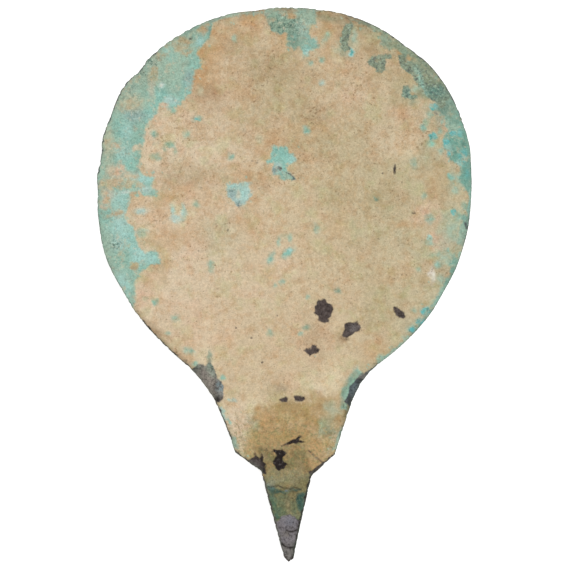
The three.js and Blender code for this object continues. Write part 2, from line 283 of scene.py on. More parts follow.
# Stains of the soil crust: colour, middle, width, height, strength and turn. The first four are as
# broad as a quarter of the face. A strip has its side, the two heights that it runs between, and width.
SOIL_CLOUDS = [
    *several(cloud, "soil",
        ("soil_top", 2, 88, 130, 70, 0.9), ("soil_right", 52, 22, 62, 110, 0.85),
        ("soil_light", -40, 26, 56, 120, 0.85), ("soil_low", -2, -22, 70, 60, 0.8),
        ("rust", -33, 84, 14, 34, 0.75, -10), ("rust", -24, 99, 22, 12, 0.55, 20),
        ("brown", -31.3, 74.6, 11, 9, 0.6), ("brown", -29, 70, 12, 8, 0.3),
        ("brown", -18, 96, 10, 12, 0.35), ("rust", -13.9, 106.7, 6, 4, 0.9),
        ("rust", -0.7, 98.5, 6, 5, 0.6), ("rust", 18, 99, 9, 14, 0.6), ("olive", -3, 81, 26, 26, 0.6),
        ("olive", 4.8, 64, 6, 22, 0.45), ("soil_pink", -50, 66, 8, 7, 0.5),
        ("soil_green", -43, 61, 16, 12, 0.3), ("olive", -33, 63, 10, 12, 0.2),
        ("soil_pink", -54.5, -3.6, 8, 8, 0.7), ("brown", -41, 42.5, 22, 8, 0.45),
        ("olive", -31, 43, 14, 9, 0.5), ("rust", -42, 36, 12, 6, 0.6, -15), ("rust", -30, 36, 10, 14, 0.35),
        ("soil_green", -42, 49, 9, 6, 0.5), ("rust", -49, 8.5, 10, 4, 0.6, -8),
        ("rust", -52.7, 17.7, 8, 5, 0.5), ("rust", -52.7, 6, 8, 6, 0.5),
        ("soil_pink", 48, 67.5, 10, 10, 0.4), ("rust", 47.5, 70, 3, 9, 0.4), ("rust", 60, 43, 9, 16, 0.5),
        ("soil_pink", 57, 29, 10, 12, 0.6), ("rust", 48.5, 23.5, 9, 5, 0.5),
        ("soil_pink", 63, 17, 12, 7, 0.8), ("soil_green", 47.7, 17.5, 7, 7, 0.7),
        ("soil_green", 53.5, 13, 10, 6, 0.7), ("brown", -8.3, 39, 5, 5, 0.45),
        ("olive", 20, 36, 12, 10, 0.45), ("rust", 6.5, 54, 5, 8, 0.35), ("olive", 26, 56, 22, 16, 0.35),
        ("olive", -14, 62, 16, 20, 0.3), ("rust", -20, 78, 10, 8, 0.3), ("brown", -5, 86, 14, 10, 0.3),
        ("brown", 35, 84, 6, 8, 0.2), ("rust", -38.5, -28.7, 6, 4, 0.8, -35),
        ("brown", -48, -21.5, 14, 3, 0.4, -42), ("soil_pink", -31, -18, 14, 12, 0.2)),
    Soft(RimStrip("soil", "lichen", 1, 66, 108.5, 4.2), 2.4, 0.75),
    Soft(RimStrip("soil", "brown", 1, 92, 109, 2.2), 1.6, 0.5),
    *several(cloud, "soil",
        ("olive", 40, 37, 16, 14, 0.5), ("soil_green", -25.9, 19.4, 16, 14, 0.6),
        ("cream", 18.5, -36.5, 9, 12, 0.6), ("soil_pink", -36, -18, 26, 22, 0.25),
        ("rust", -9, 44, 8, 6, 0.5), ("rust", -11, 33, 7, 6, 0.4), ("brown", 12.3, 68, 10, 8, 0.5),
        ("cream", 48, 56, 12, 10, 0.4), ("olive", 38, -11, 16, 14, 0.45), ("brown", 12.5, -22, 9, 17, 0.3),
        ("rust", -51.5, 3, 8, 8, 0.35), ("brown", 35, 96, 9, 8, 0.5), ("brown", 27.5, 103, 9, 6, 0.7),
        ("olive", 30, 98, 12, 9, 0.5), ("brown", 45, 90.5, 5, 4, 0.5), ("olive", 49, 82.5, 8, 7, 0.4),
        ("olive", 66.5, 39.5, 9, 9, 0.55), ("brown", 66, 38, 6, 5, 0.3), ("sage", 56, 75.4, 8, 4, 0.6),
        ("sage", 60, 66, 9, 14, 0.5), ("soil_pink", 60, 62, 12, 16, 0.35), ("sage", 60, 52, 10, 14, 0.3),
        ("chalk", 59.8, 4.6, 2.4, 3.4, 0.9, 15), ("chalk", 60.2, 1.6, 1.8, 2.6, 0.8),
        ("sage", 66, 24, 10, 14, 0.4), ("soil_green", 60, -4, 12, 9, 0.5), ("cream", -44, 61, 10, 9, 0.4),
        ("soil_light", -14, 56, 12, 9, 0.4), ("olive", 16, 55, 8, 8, 0.35), ("brown", 26, 92, 6, 6, 0.4),
        ("cream", 47, 8, 12, 10, 0.3), ("cream", -12, -48.5, 10, 5, 0.5),
        ("soil_light", -36, 68, 13, 10, 0.45), ("soil_light", -47, 57, 13, 12, 0.6),
        ("soil_light", 42, 57, 16, 10, 0.4), ("olive", 12.3, 56, 8, 8, 0.3), ("olive", 9, 63, 10, 10, 0.4),
        ("olive", 11, 71.5, 7, 8, 0.4), ("rust", -16, 43.4, 14, 7, 0.5), ("brown", -13.6, 41.6, 4, 3, 0.4),
        ("rust", -15.7, 24, 10, 10, 0.4), ("rust", -38.5, 21.5, 13, 10, 0.4),
        ("rust", -57.5, 34, 7, 6, 0.5), ("olive", -57, 16.6, 7, 5, 0.55), ("rust", -47, 14.6, 8, 6, 0.5),
        ("olive", 46.8, 74.4, 6, 7, 0.7), ("olive", 40, 93.6, 9, 5, 0.55), ("olive", 38.8, 84.6, 7, 5, 0.6),
        ("rust", 21, 23.6, 9, 8, 0.45), ("brown", 22.8, -20.4, 4, 5, 0.7), ("olive", 4, -48.6, 14, 6, 0.4),
        ("rust", -5, 57, 14, 9, 0.45), ("soil_light", -30.6, 40.8, 9, 4, 0.6),
        ("cream", -40, 26.4, 7, 4, 0.6), ("soil_light", 27, 74.6, 10, 7, 0.5),
        ("brown", -52.4, -18.4, 6, 3, 0.6, -42), ("cream", -30.4, -28, 4, 4, 0.6),
        ("rust", -13, 40.2, 4, 4, 0.4), ("brown", 22.3, 103.4, 5, 9, 0.5), ("olive", 46.8, 75.6, 5, 5, 0.5),
        ("soil_green", 12.8, 71, 6, 6, 0.4), ("rust", -48, 31, 9, 8, 0.4), ("rust", -47, 20, 10, 8, 0.4),
        ("soil_light", 0, 9, 13, 11, 0.45), ("soil_light", -11, -4, 13, 12, 0.4),
        ("cream", -30, -20, 22, 14, 0.3), ("cream", -34, -30, 10, 8, 0.35), ("rust", 37, -27.5, 10, 7, 0.6),
        ("cream", 12, -40, 12, 8, 0.5), ("cream", -12, -51, 10, 5, 0.5), ("sage", 52.5, -15, 7, 7, 0.7),
        ("soil_green", 49, -12, 8, 8, 0.6), ("sage", 67, 16, 8, 20, 0.65), ("sage", 68.5, 41, 5, 9, 0.5),
        ("lichen", 55.5, 76, 9, 5, 0.6), ("olive", 47, 81, 8, 8, 0.45),
        ("grey_teal", 61.5, 68.5, 5, 6, 0.6), ("sage", 24.8, 95, 6, 9, 0.6), ("olive", 16.5, 99, 6, 6, 0.5),
        ("brown", -14, 109, 15, 3.4, 0.6), ("olive", -23.5, 106.3, 8, 4, 0.6)),
    Soft(RimStrip("soil", "olive", 1, -42, -22, 2.0), 1.6, 0.8),
    Soft(RimStrip("soil", "brown", -1, -33, -10, 1.5), 1.4, 0.55),
    Soft(RimStrip("soil", "brown", -1, 96, 110, 1.3), 1.2, 0.6),
    Soft(RimStrip("soil", "brown", 1, 100, 112, 1.3), 1.2, 0.6),
]

# The ochre stain over the neck, the dull crust of the tang, and what stains them in turn.
NECK_WASHES = [
    wash("ochre", 2.2, 0.95, (-15, -70), (-16.4, -62), (-15.4, -56.4), (-12, -53), (-7.6, -50.2),
         (-3.4, -47.6), (3, -45.6), (8.6, -44.6), (15.7, -44.2), (20, -46), (26, -48), (26, -68), (12, -78),
         (10, -120), (-10, -120), (-10, -78)),
    *several(cloud, "soil",
        ("soil_green", 19, -52, 8, 10, 0.5), ("sage", 18.3, -49.3, 3, 4, 0.5),
        ("sage", 19.9, -52, 4, 3, 0.5), ("sage", 14.7, -55.7, 2.6, 4, 0.5),
        ("grey_teal", 18.3, -57.6, 3.4, 3, 0.45), ("sage", 13.5, -58.6, 3, 2.4, 0.4),
        ("soil_green", -18.6, -63, 8, 15, 0.8), ("sage", -15, -55, 3.6, 3, 0.45),
        ("sage", -12.3, -56.8, 3, 2.6, 0.4), ("soil_green", -16, -60, 7, 8, 0.5)),
    wash("rust", 2.2, 0.4, (9, -62), (18, -60), (18, -67), (11, -72)),
    wash("rust", 2.0, 0.3, (-16.5, -57), (-13, -58), (-12, -66), (-18, -67)),
    wash("ochre_olive", 2.6, 0.75, (-1, -65.5), (7.5, -65), (10, -70), (10, -78), (-9, -78), (-6, -70)),
    wash("tang_olive", 1.6, 1.0, (-9, -75), (11, -76), (8, -97), (-6, -97)),
    wash("tang_green", 0.8, 0.9, (-9, -79.6), (-5, -80), (-4, -84), (-2.4, -87), (-1.8, -92), (-3, -96),
         (-8, -96)),
    wash("tang_teal", 0.7, 0.95, (5.4, -84.8), (6.8, -83.8), (10, -83.8), (10, -98), (6.3, -98), (6, -91),
         (4.6, -88.2)),
    wash("tang_teal", 0.7, 0.72, (-8, -80), (-4.6, -80.4), (-2.4, -81), (0, -81.6), (2.4, -81.2),
         (4, -80.4), (7.2, -82), (7, -83), (3.8, -82.2), (1.6, -83.2), (-1.6, -82.8), (-4, -84.6),
         (-8, -85)),
    *several(cloud, "soil",
        ("tang_green", 0.6, -86, 7, 6, 0.5), ("tang_teal", -2.3, -92.4, 2.6, 2.2, 0.8),
        ("tang_olive", 3, -70.5, 9, 7, 0.7), ("ochre_olive", -7, -69, 7, 5, 0.9),
        ("sage", 0, -76.6, 22, 5, 0.12), ("soil_green", -1, -77, 12, 4, 0.15),
        ("blue_grey", -6.4, -79.6, 3, 4, 0.3), ("tang_green", 2.4, -91, 8, 6, 0.85)),
    wash("ochre_olive", 0.6, 1.0, (22.8, -48.6), (27, -48.4), (26.4, -53.6), (23.6, -53.8)),
    *several(cloud, "soil",
        ("tang_olive", 25.2, -50.2, 1.8, 2.4, 1.0), ("soil_light", 12, -43, 6, 6, 0.7),
        ("olive", 34, -33.6, 5, 4, 0.8), ("soil_light", 19.6, -60.2, 4, 6, 0.45),
        ("rust", 39.2, 2.4, 6, 5, 0.3), ("soil_light", -19.2, -53.6, 7, 12, 0.8),
        ("umber", -4.4, -67.6, 6, 8, 0.2), ("ochre_olive", 2.6, -47.6, 6, 4, 0.6),
        ("rust", 9.6, 61.4, 16, 7, 0.45), ("rust", -5.6, -53.6, 9, 6, 0.7), ("olive", -2.4, -42, 9, 6, 0.6),
        ("ochre", 2.4, -48.4, 11, 5, 0.8), ("lichen", 18, -57, 5, 6, 0.6), ("umber", 3.4, -64.4, 9, 2, 0.4),
        ("lead", -1.6, -41.6, 5, 3, 0.35)),
    Soft(Line("soil", "black", 0.4, (-6.6, -80.8), (-4.6, -80.6), (-2.2, -80.2), (-0.4, -81), (2.4, -81.6),
         (4.4, -80.8), (6.9, -82)), 0.45, 0.75),
    Soft(Line("soil", "umber", 0.55, (9.7, -66.2), (16.4, -72)), 0.4, 1.1),
    Soft(Line("soil", "olive", 0.4, (-56, 23.8), (-53.2, 23.9)), 0.35, 0.9),
    Soft(Patch("soil", "turquoise", (29.5, -33.5), (27.2, -35.6), (24.9, -38), (23.2, -41), (22.8, -46),
         (22, -50), (24, -51), (25.2, -47.5), (26, -42), (28.4, -38.5), (31.5, -35.5)), 0.9, 1.3),
    Soft(Line("soil", "grey_teal", 2.2, (28.8, -35.6), (25, -39.2), (23.8, -43.2), (23.4, -48)), 1.0, 0.75),
]

# The large patches of verdigris, and the eaten edge at the upper right.
LEFT_BAND = Patch(
    "crust", "turquoise",
    (-28.8, 105.6), (-29, 102), (-30, 98.5), (-33.4, 94.6), (-35, 92.4), (-33.4, 89.5), (-33.4, 86.7),
    (-35.9, 85.6), (-36.3, 81.7), (-37, 77.8), (-38.8, 74.6), (-42, 71.7), (-45.6, 69.9), (-50, 71),
    (-51.3, 67.8), (-53.8, 65.7), (-55.9, 62), (-55.4, 57.4), (-57.2, 54.8), (-57.6, 49.8), (-57.6, 45.8),
    (-56.3, 43.5), (-52, 43), (-53.1, 39.1), (-50.6, 37), (-52, 35.9), (-56.3, 35.5), (-57.7, 37.3),
    (-60.9, 36.9), (-62.7, 30.9), (-63.4, 28), (-62.7, 24.1), (-60.2, 23.4), (-58.8, 17.7), (-57.7, 14.8),
    (-55.6, 12.7), (-52.7, 13.7), (-50.6, 13), (-49.5, 10), (-50.2, 8.2), (-53.1, 8.2), (-58.1, 4.3),
    (-59.8, -0.7), (-59.5, -4.3), (-60.2, -8.9), (-66, -14), (-95, 0), (-95, 100), (-50, 125), (-28, 114),
)
CROWN_PATCH = Patch(
    "crust", "moss",
    (-7.5, 108.5), (-7.1, 105.3), (-4.6, 101.4), (-2.8, 100.1), (0.7, 100.6), (1.4, 95.3), (3.6, 93.5),
    (6.1, 95.3), (7.9, 91), (9.7, 91.4), (10.4, 93.1), (13.6, 94.6), (13.2, 97.1), (10.4, 99.6),
    (10, 103.5), (12.2, 104.2), (12.9, 109.2), (14, 118), (-8, 118),
)
RIGHT_SHOULDER = Patch(
    "crust", "lichen",
    (38.4, 99.7), (38.6, 95.4), (42, 94), (45, 94.4), (46.2, 91), (52, 86.5), (57, 83), (61, 79.5),
    (60, 74), (62.7, 70), (64.4, 66), (66.2, 62), (80, 70), (66, 92), (46, 106),
)
RIGHT_EATEN = [
    Patch("pitted", "dark_green", (45.4, 92.6), (45.8, 90.4), (46.3, 87.9), (49.3, 84.4), (51.3, 83.9),
          (53.3, 79.4), (56.3, 77.4), (56.8, 75.4), (58.3, 74.4), (60.6, 73), (61.8, 70.6), (63.6, 70),
          (64.6, 72.6), (66.3, 75.5), (64.3, 78.9), (58.3, 83.9), (54.3, 86.9), (49.3, 88.7), (47.6, 91.7)),
    *several(cloud, "pitted",
        ("deep_teal", 60.5, 77.2, 11, 6, 1.0), ("lichen", 57.8, 82.6, 8, 4, 0.8, -35),
        ("turquoise", 53.7, 84.2, 2.2, 7, 0.9, 25)),
    Soft(Line("pitted", "turquoise", 1.1, (53.3, 84.6), (54.6, 81.4), (56, 78), (57, 75.6)), 0.6, 0.95),
    Patch("crust", "grey_teal", (60.3, 74.5), (66.4, 75), (66.4, 69.5), (64, 67.8), (61, 70.5)),
]
RIGHT_BAND = Patch(
    "crust", "band_teal",
    (65.5, 69), (65.2, 62.4), (63.4, 57.8), (63.7, 54.6), (66.2, 49.9), (68.4, 48.5), (71.2, 46),
    (69.8, 42.4), (70.9, 39.9), (72.3, 37.8), (76, 37), (90, 50), (80, 72),
)
MIDDLE_BLOB = Patch(
    "crust", "aqua",
    (-4.8, 55), (0.9, 55), (2, 52.7), (4.3, 51.6), (4.7, 48.7), (0.9, 48.1), (1.5, 45.3), (4.3, 42.4),
    (4.3, 41.9), (0.3, 41.3), (-2, 43), (-4, 44.1), (-4.8, 46.4), (-4.3, 48.4), (-7.1, 48.7), (-7.1, 49.6),
    (-5.4, 50.4),
)
KITE = Patch(
    "crust", "pale_aqua",
    (-22.9, 40.1), (-18, 40.7), (-13.4, 40.7), (-14, 39), (-12.3, 36.1), (-13.4, 34.7), (-15.7, 32.1),
    (-18, 30.7), (-19.1, 32.1), (-21.4, 34.4), (-22.9, 36.1),
)

# Bare metal where the crust has come away, on the lower face and the neck.
BARE_SPOTS = [
    *several(Patch, "bare",
        ("umber", (13.2, -6), (16.4, -5.8), (17.2, -7.1), (19.3, -7.8), (19.5, -9.9), (18.6, -12.4),
         (17.7, -13.5), (17.5, -15.1), (15, -14.9), (13.6, -13.9), (13.2, -12.4), (11.8, -11), (12.2, -8.9),
         (13, -7.8)),
        ("umber", (24.1, -15.3), (25.9, -14.9), (27, -15.6), (29.1, -14.5), (30.5, -17), (29.4, -18.8),
         (26.8, -20.1), (25.2, -21.3), (22.9, -20.9), (23.8, -18.4)),
        ("umber", (43.4, -9.1), (45.2, -8.8), (48, -10.9), (48.5, -12.7), (47.3, -13.6), (45.5, -13.2),
         (44.1, -10.9)),
        ("umber", (7.8, -26.5), (8.8, -25.2), (11, -25.1), (11.2, -23.9), (12.7, -24.1), (13.2, -25.1),
         (14.4, -25.9), (13.8, -27.3), (11.5, -27.6), (10.4, -28.4), (9, -27.4)),
        ("umber", (-2.2, -46.2), (-0.8, -45.4), (0.2, -44.4), (1.6, -44.9), (1.4, -46.8), (-0.6, -47.1)),
        ("umber", (3.8, -44.4), (8.3, -44.4), (8.1, -45.7), (6.3, -46.9), (4.4, -46.4)),
        ("black", (-1, -64.5), (0.8, -63.4), (2.9, -62.1), (4.4, -61.2), (5.8, -60.5), (7, -60.7),
         (5.8, -61.6), (5.6, -62.3), (8.3, -63.2), (5.8, -63.2), (4.7, -64.1), (3.6, -63.6), (1.1, -64.1)),
        ("black", (-5.3, -66.6), (-3.8, -65.7), (-0.3, -65.7), (0.8, -67.5), (-0.6, -69.3), (-0.3, -70.5),
         (1.7, -71.8), (-0.3, -73.6), (-2.1, -74.1), (-3.8, -73.2), (-4.9, -71.4), (-4.2, -70),
         (-2.8, -68.6), (-3.5, -67.5))),
    Line("bare", "brown", 0.7, (22, -21.4), (25.4, -22.1)),
]

# Bare metal at the waist, along the shoulders and beside the neck, and its blooms.
NECK_SPOTS = [
    *several(Patch, "bare",
        ("lead", (-38, -34.2), (-35.4, -32.6), (-33.7, -31.5), (-31, -32.4), (-30.2, -30.8), (-29.7, -29.2),
         (-29.2, -31.2), (-27.7, -33.9), (-27, -36.8), (-24.9, -38.6), (-24.3, -41.3), (-24.3, -44.8),
         (-25.7, -47), (-40, -46)),
        ("slate", (37, -32), (33.6, -34.4), (30.3, -36), (28.9, -37.4), (27.5, -39.2), (25.7, -41),
         (25.4, -44.2), (24.3, -46.4), (24.7, -47.8), (25.9, -48.7), (33, -50), (42, -34)),
        ("umber", (-15, -70), (-12.3, -69.2), (-11.6, -66.7), (-11.1, -68.5), (-9.6, -69.2), (-9.1, -66.9),
         (-8.4, -68.9), (-8.6, -70.6), (-7.3, -71.5), (-7.5, -75.5), (-8.4, -75.6), (-16, -78)),
        ("black", (10, -74.6), (12.5, -74.2), (11.5, -78))),
    Line("bare", "umber", 1.2, (10.8, -75.4), (13.4, -73.2), (16.6, -71), (20, -68)),
    *several(cloud, "bare",
        ("black", -36.2, -33.6, 4, 3, 0.6), ("sage", -29.6, -33, 3.4, 7, 0.35, 20),
        ("blue_steel", -25.6, -40.8, 2.6, 6, 0.9), ("dark_teal", -29, -33, 3, 7, 0.35, 30),
        ("dark_teal", -34.6, -32.8, 3, 3, 0.4), ("black", -27.6, -41.8, 1.6, 4, 0.35, 20),
        ("blue_steel", 27.4, -42, 2, 5, 0.35, -30), ("black", 26, -46.5, 3, 4, 0.7),
        ("black", 30.5, -38.5, 2.6, 4, 0.5), ("lead", 31.6, -36, 5, 3, 0.5),
        ("black", -26.5, -46, 4, 3, 0.9), ("violet", 27.6, -17.4, 4, 3, 0.7),
        ("black", -11.5, -68.4, 2.4, 5, 0.9), ("black", -9, -69.2, 2, 4, 0.9),
        ("black", -7.8, -73, 2.4, 7, 0.9), ("violet", -12.6, -71.8, 5, 3, 0.6)),
]

# The clean metal at the end of the tang, with painted shadows under the lips of its laps.
TANG_SPOTS = [
    Patch("bare", "tang_grey", (-8, -94.8), (-2.4, -94.4), (-1.2, -93), (0.4, -92.2), (2.6, -92),
          (4.4, -92.8), (5.8, -94.4), (10, -95), (10, -120), (-8, -120)),
    *several(cloud, "bare",
        ("tang_blue", 2.2, -94.6, 5, 3.6, 0.9), ("tang_tip", 2, -108, 7, 8, 1.0)),
    # Painted shadows: a black line under the lip of each lap.
    *several(Line, "bare",
        ("black", 0.65, (0.8, -98.2), (2, -98.8), (3.6, -98.9), (5.2, -98)),
        ("black", 0.75, (-1, -103.6), (0.4, -104.9), (2.2, -105.4), (3.8, -105), (4.9, -103.9))),
    soft_dot("blue_steel", 0.9, -82.6, 0.8), cloud("bare", "lead", 0.4, -99.9, 3, 2.4, 0.6),
]

# Places that corrosion has eaten into, dark green and rough.
EATEN_PATCHES = [
    *several(Patch, "pitted",
        ("dark_green", (24.3, 104), (26.6, 105.2), (27.9, 103.4), (26.5, 99.8), (25.4, 96.7), (26.4, 93.5),
         (23.9, 92.8), (22.2, 94.6), (22.5, 98.5), (23.2, 101.4)),
        ("dark_green", (33.4, 89.2), (35.5, 91.7), (38.4, 91.7), (40.2, 92.4), (42.3, 92.4), (43.5, 91.2),
         (40.9, 90.3), (40.2, 88.9), (40.5, 85.6), (38.7, 84.2), (36.9, 84.6), (36.2, 86.7), (33.7, 87.8)),
        ("dark_green", (46.9, 76), (47.7, 78.9), (49.4, 79.9), (50.5, 78.1), (50.9, 76), (53.7, 75.3),
         (53, 74.4), (50.2, 73.9), (47.3, 74.6))),
    *several(cloud, "pitted",
        ("sage", 49, 78, 2, 1.6, 0.6), ("deep_teal", 49, 76.4, 6, 4, 0.7)),
    *RIGHT_EATEN,
]

# Verdigris beyond the large patches: colour, middle, width, height and turn.
VERDIGRIS_DOTS = [
    ("turquoise", -52, 60, 2.6), ("turquoise", -39, 59.8, 2.4), ("sage", -51, 51, 3.5, 2.5),
    ("sage", -47.8, 54, 1.4, 3, 20), ("turquoise", -45.6, 56, 3.6, 1.8), ("sage", -43.4, 53.4, 1.6, 3),
    ("pale_aqua", -57.4, 29.3, 4.8, 2.4), ("pale_aqua", -44.4, 28.8, 1.8, 4.6),
    ("pale_aqua", -40.2, 29.4, 1.8, 4.6), ("pale_aqua", -42.5, 26.2, 4.6, 2.4), ("sage", -35.1, 32, 2, 2.4),
    ("pale_aqua", -57, 21.3, 5, 1.8, 6), ("sage", -57, 19.6, 3, 2), ("aqua", -34.6, 66.3, 3.4, 2, 20),
    ("bright", -35.4, 66.1, 1.1, 0.9), ("turquoise", -44.4, 69.6, 2.2), ("turquoise", -29.3, 8.4, 1.8, 2.6),
    ("turquoise", -51.5, -6.8, 2, 2.6), ("soil_green", -55.5, -5.7, 2.4, 2), ("sage", -43.6, -13.4, 3, 2.4),
    ("sage", -46.6, -19.4, 1.8, 1.2), ("sage", -38.8, -26, 2.6, 2.4),
    ("turquoise", -36.9, -26.9, 1.6, 2, 30), ("sage", -20, 98.1, 1.8, 2.6),
    ("soil_green", -33.8, 77.8, 2.4, 3), ("sage", 16.7, 98.4, 1.8, 5, -30), ("turquoise", 14.8, 89.8, 2),
    ("aqua", 10.4, 88.4, 1.6), ("pale_aqua", 14.9, 80.8, 1.8), ("soil_green", 21.4, 79.9, 2.4),
    ("aqua", 8.9, 61.5, 2.2, 2.8), ("sage", 28, 99, 1.8, 5), ("cyan", 27, 92.6, 1.8, 2.6),
    ("bright", 27, 92.8, 0.9, 1.6), ("soil_green", 28.8, 95, 2, 3), ("sage", 56.6, 76.6, 2),
    ("sage", 52.5, 78, 3, 2), ("bright", 59.3, 70.9, 2.6, 2.2), ("bright", 59.8, 59.3, 3, 2.5),
    ("aqua", 58.6, 56.4, 2.4), ("bright", 64.6, 56.9, 2.2, 2), ("bright", 65.6, 52.6, 1.2),
    ("aqua", 68.6, 57.4, 1.8), ("turquoise", 66.8, 54.6, 2.6, 2), ("aqua", 55.3, 62.6, 2.2, 3),
    ("sage", 56.8, 65, 2, 2.4), ("bright", 67.3, 60.6, 2.2, 1.5), ("aqua", 62.3, 53.3, 1.8),
    ("sage", 58, 68, 2, 3), ("aqua", 62.2, 62, 1.8, 2.6), ("aqua", 66.3, 43, 2, 2.2),
    ("aqua", 70.3, 41.6, 3, 3.6), ("turquoise", 68.6, 37.9, 2.2, 2.6), ("sage", 55.7, 35.5, 2.2),
    ("bright", 67.7, 29, 1.3, 2.6), ("turquoise", 71.8, 31.5, 1.8, 3), ("turquoise", 57.9, 26.4, 3.2, 3.4),
    ("turquoise", 70.5, 27, 4, 3), ("sage", 67.6, 21.2, 6.4, 5.6), ("sage", 71, 16.6, 3.4, 6.6),
    ("cyan", 58, 18.8, 1.8, 1.6), ("sage", 57.9, 17, 3.4, 2.8), ("sage", 62.5, 12.2, 7, 3),
    ("aqua", 66.4, 9.8, 6, 4.2), ("aqua", 61.4, 8, 3.2, 2.4), ("sage", 53.4, 5.9, 1.8),
    ("sage", 62.6, 2, 3, 4), ("aqua", 57.4, -10.6, 4, 3), ("aqua", 54.8, -14.4, 3.4, 3),
    ("turquoise", 51.6, -18, 3.4, 2.8), ("bright", 56.6, -10.8, 3.2, 2.6),
    ("bright", 54.4, -14.6, 2.6, 2.2), ("bright", 51.2, -18.2, 1.8, 1.6), ("sage", 48.5, -21, 2.4, 2),
    ("turquoise", 38.5, -29.3, 3, 2.4), ("sage", 51.6, -10.2, 1.8), ("sage", 51.8, 48.6, 2.6, 3.6),
    ("turquoise", -21.4, 51, 2.2, 2.6), ("soil_green", -9.8, 58.1, 2.6, 3), ("soil_green", 18.4, 55.6, 2.6),
    ("sage", 12.7, 22.4, 2.2, 3.4), ("soil_green", 0.4, 19.4, 4.6, 1.6), ("sage", -2.4, 17.2, 1.2, 3.2),
    ("sage", 2.4, 18.6, 1.2, 2.8), ("aqua", 1.5, 12.8, 5.4, 2.2, 45), ("cyan", 2.4, 13.8, 1.2, 0.8, 45),
    ("turquoise", -5.3, 10.8, 2, 4.6, -30), ("sage", -0.7, 1.1, 1.8), ("sage", -3.4, 0, 1.4, 1),
    ("moss", 21.1, -2.1, 2.2), ("moss", 8.6, -17, 2.4, 1.8), ("sage", 6.4, -19.6, 1.6),
    ("sage", 9.3, -4.7, 1.4), ("sage", -5.7, -19.2, 2.4), ("olive", 36.9, 34.4, 4.4, 3.4),
    ("moss", 36.9, 34.2, 1.4, 1.2), ("turquoise", -35.6, -31.6, 2.6, 2),
    ("grey_teal", -29.8, -29.4, 1.6, 4.4), ("turquoise", -24.6, -37.2, 2, 1.6),
    ("pale_aqua", -20.2, -46.2, 1.8, 1.4), ("pale_aqua", -22, -46, 1.2), ("sage", -29.1, 6.9, 2, 3),
]

# Verdigris along the edge. A strip has its colour, side, the two heights that it runs between, and width.
VERDIGRIS_STRIPS = [
    *several(RimStrip, "crust",
        ("sage", -1, 104, 109, 1.2), ("lichen", 1, 74, 106, 1.6), ("sage", 1, 46, 70, 2.4),
        ("aqua", 1, 27, 40, 1.3), ("band_teal", 1, 8, 28, 3.0), ("turquoise", 1, -9, 8, 1.7),
        ("band_teal", 1, -20, -9, 1.0), ("turquoise", 1, -32, -20, 0.9)),
    Patch("crust", "sage", (58.6, 72.6), (62, 72), (66, 68), (66, 63), (64.4, 63), (63.6, 67),
          (60.8, 69.8)),
    *several(RimStrip, "crust",
        ("pale_aqua", -1, -54, -49, 1.6), ("sage", -1, -65, -60.7, 2), ("sage", 1, -66, -57.5, 1.2)),
]

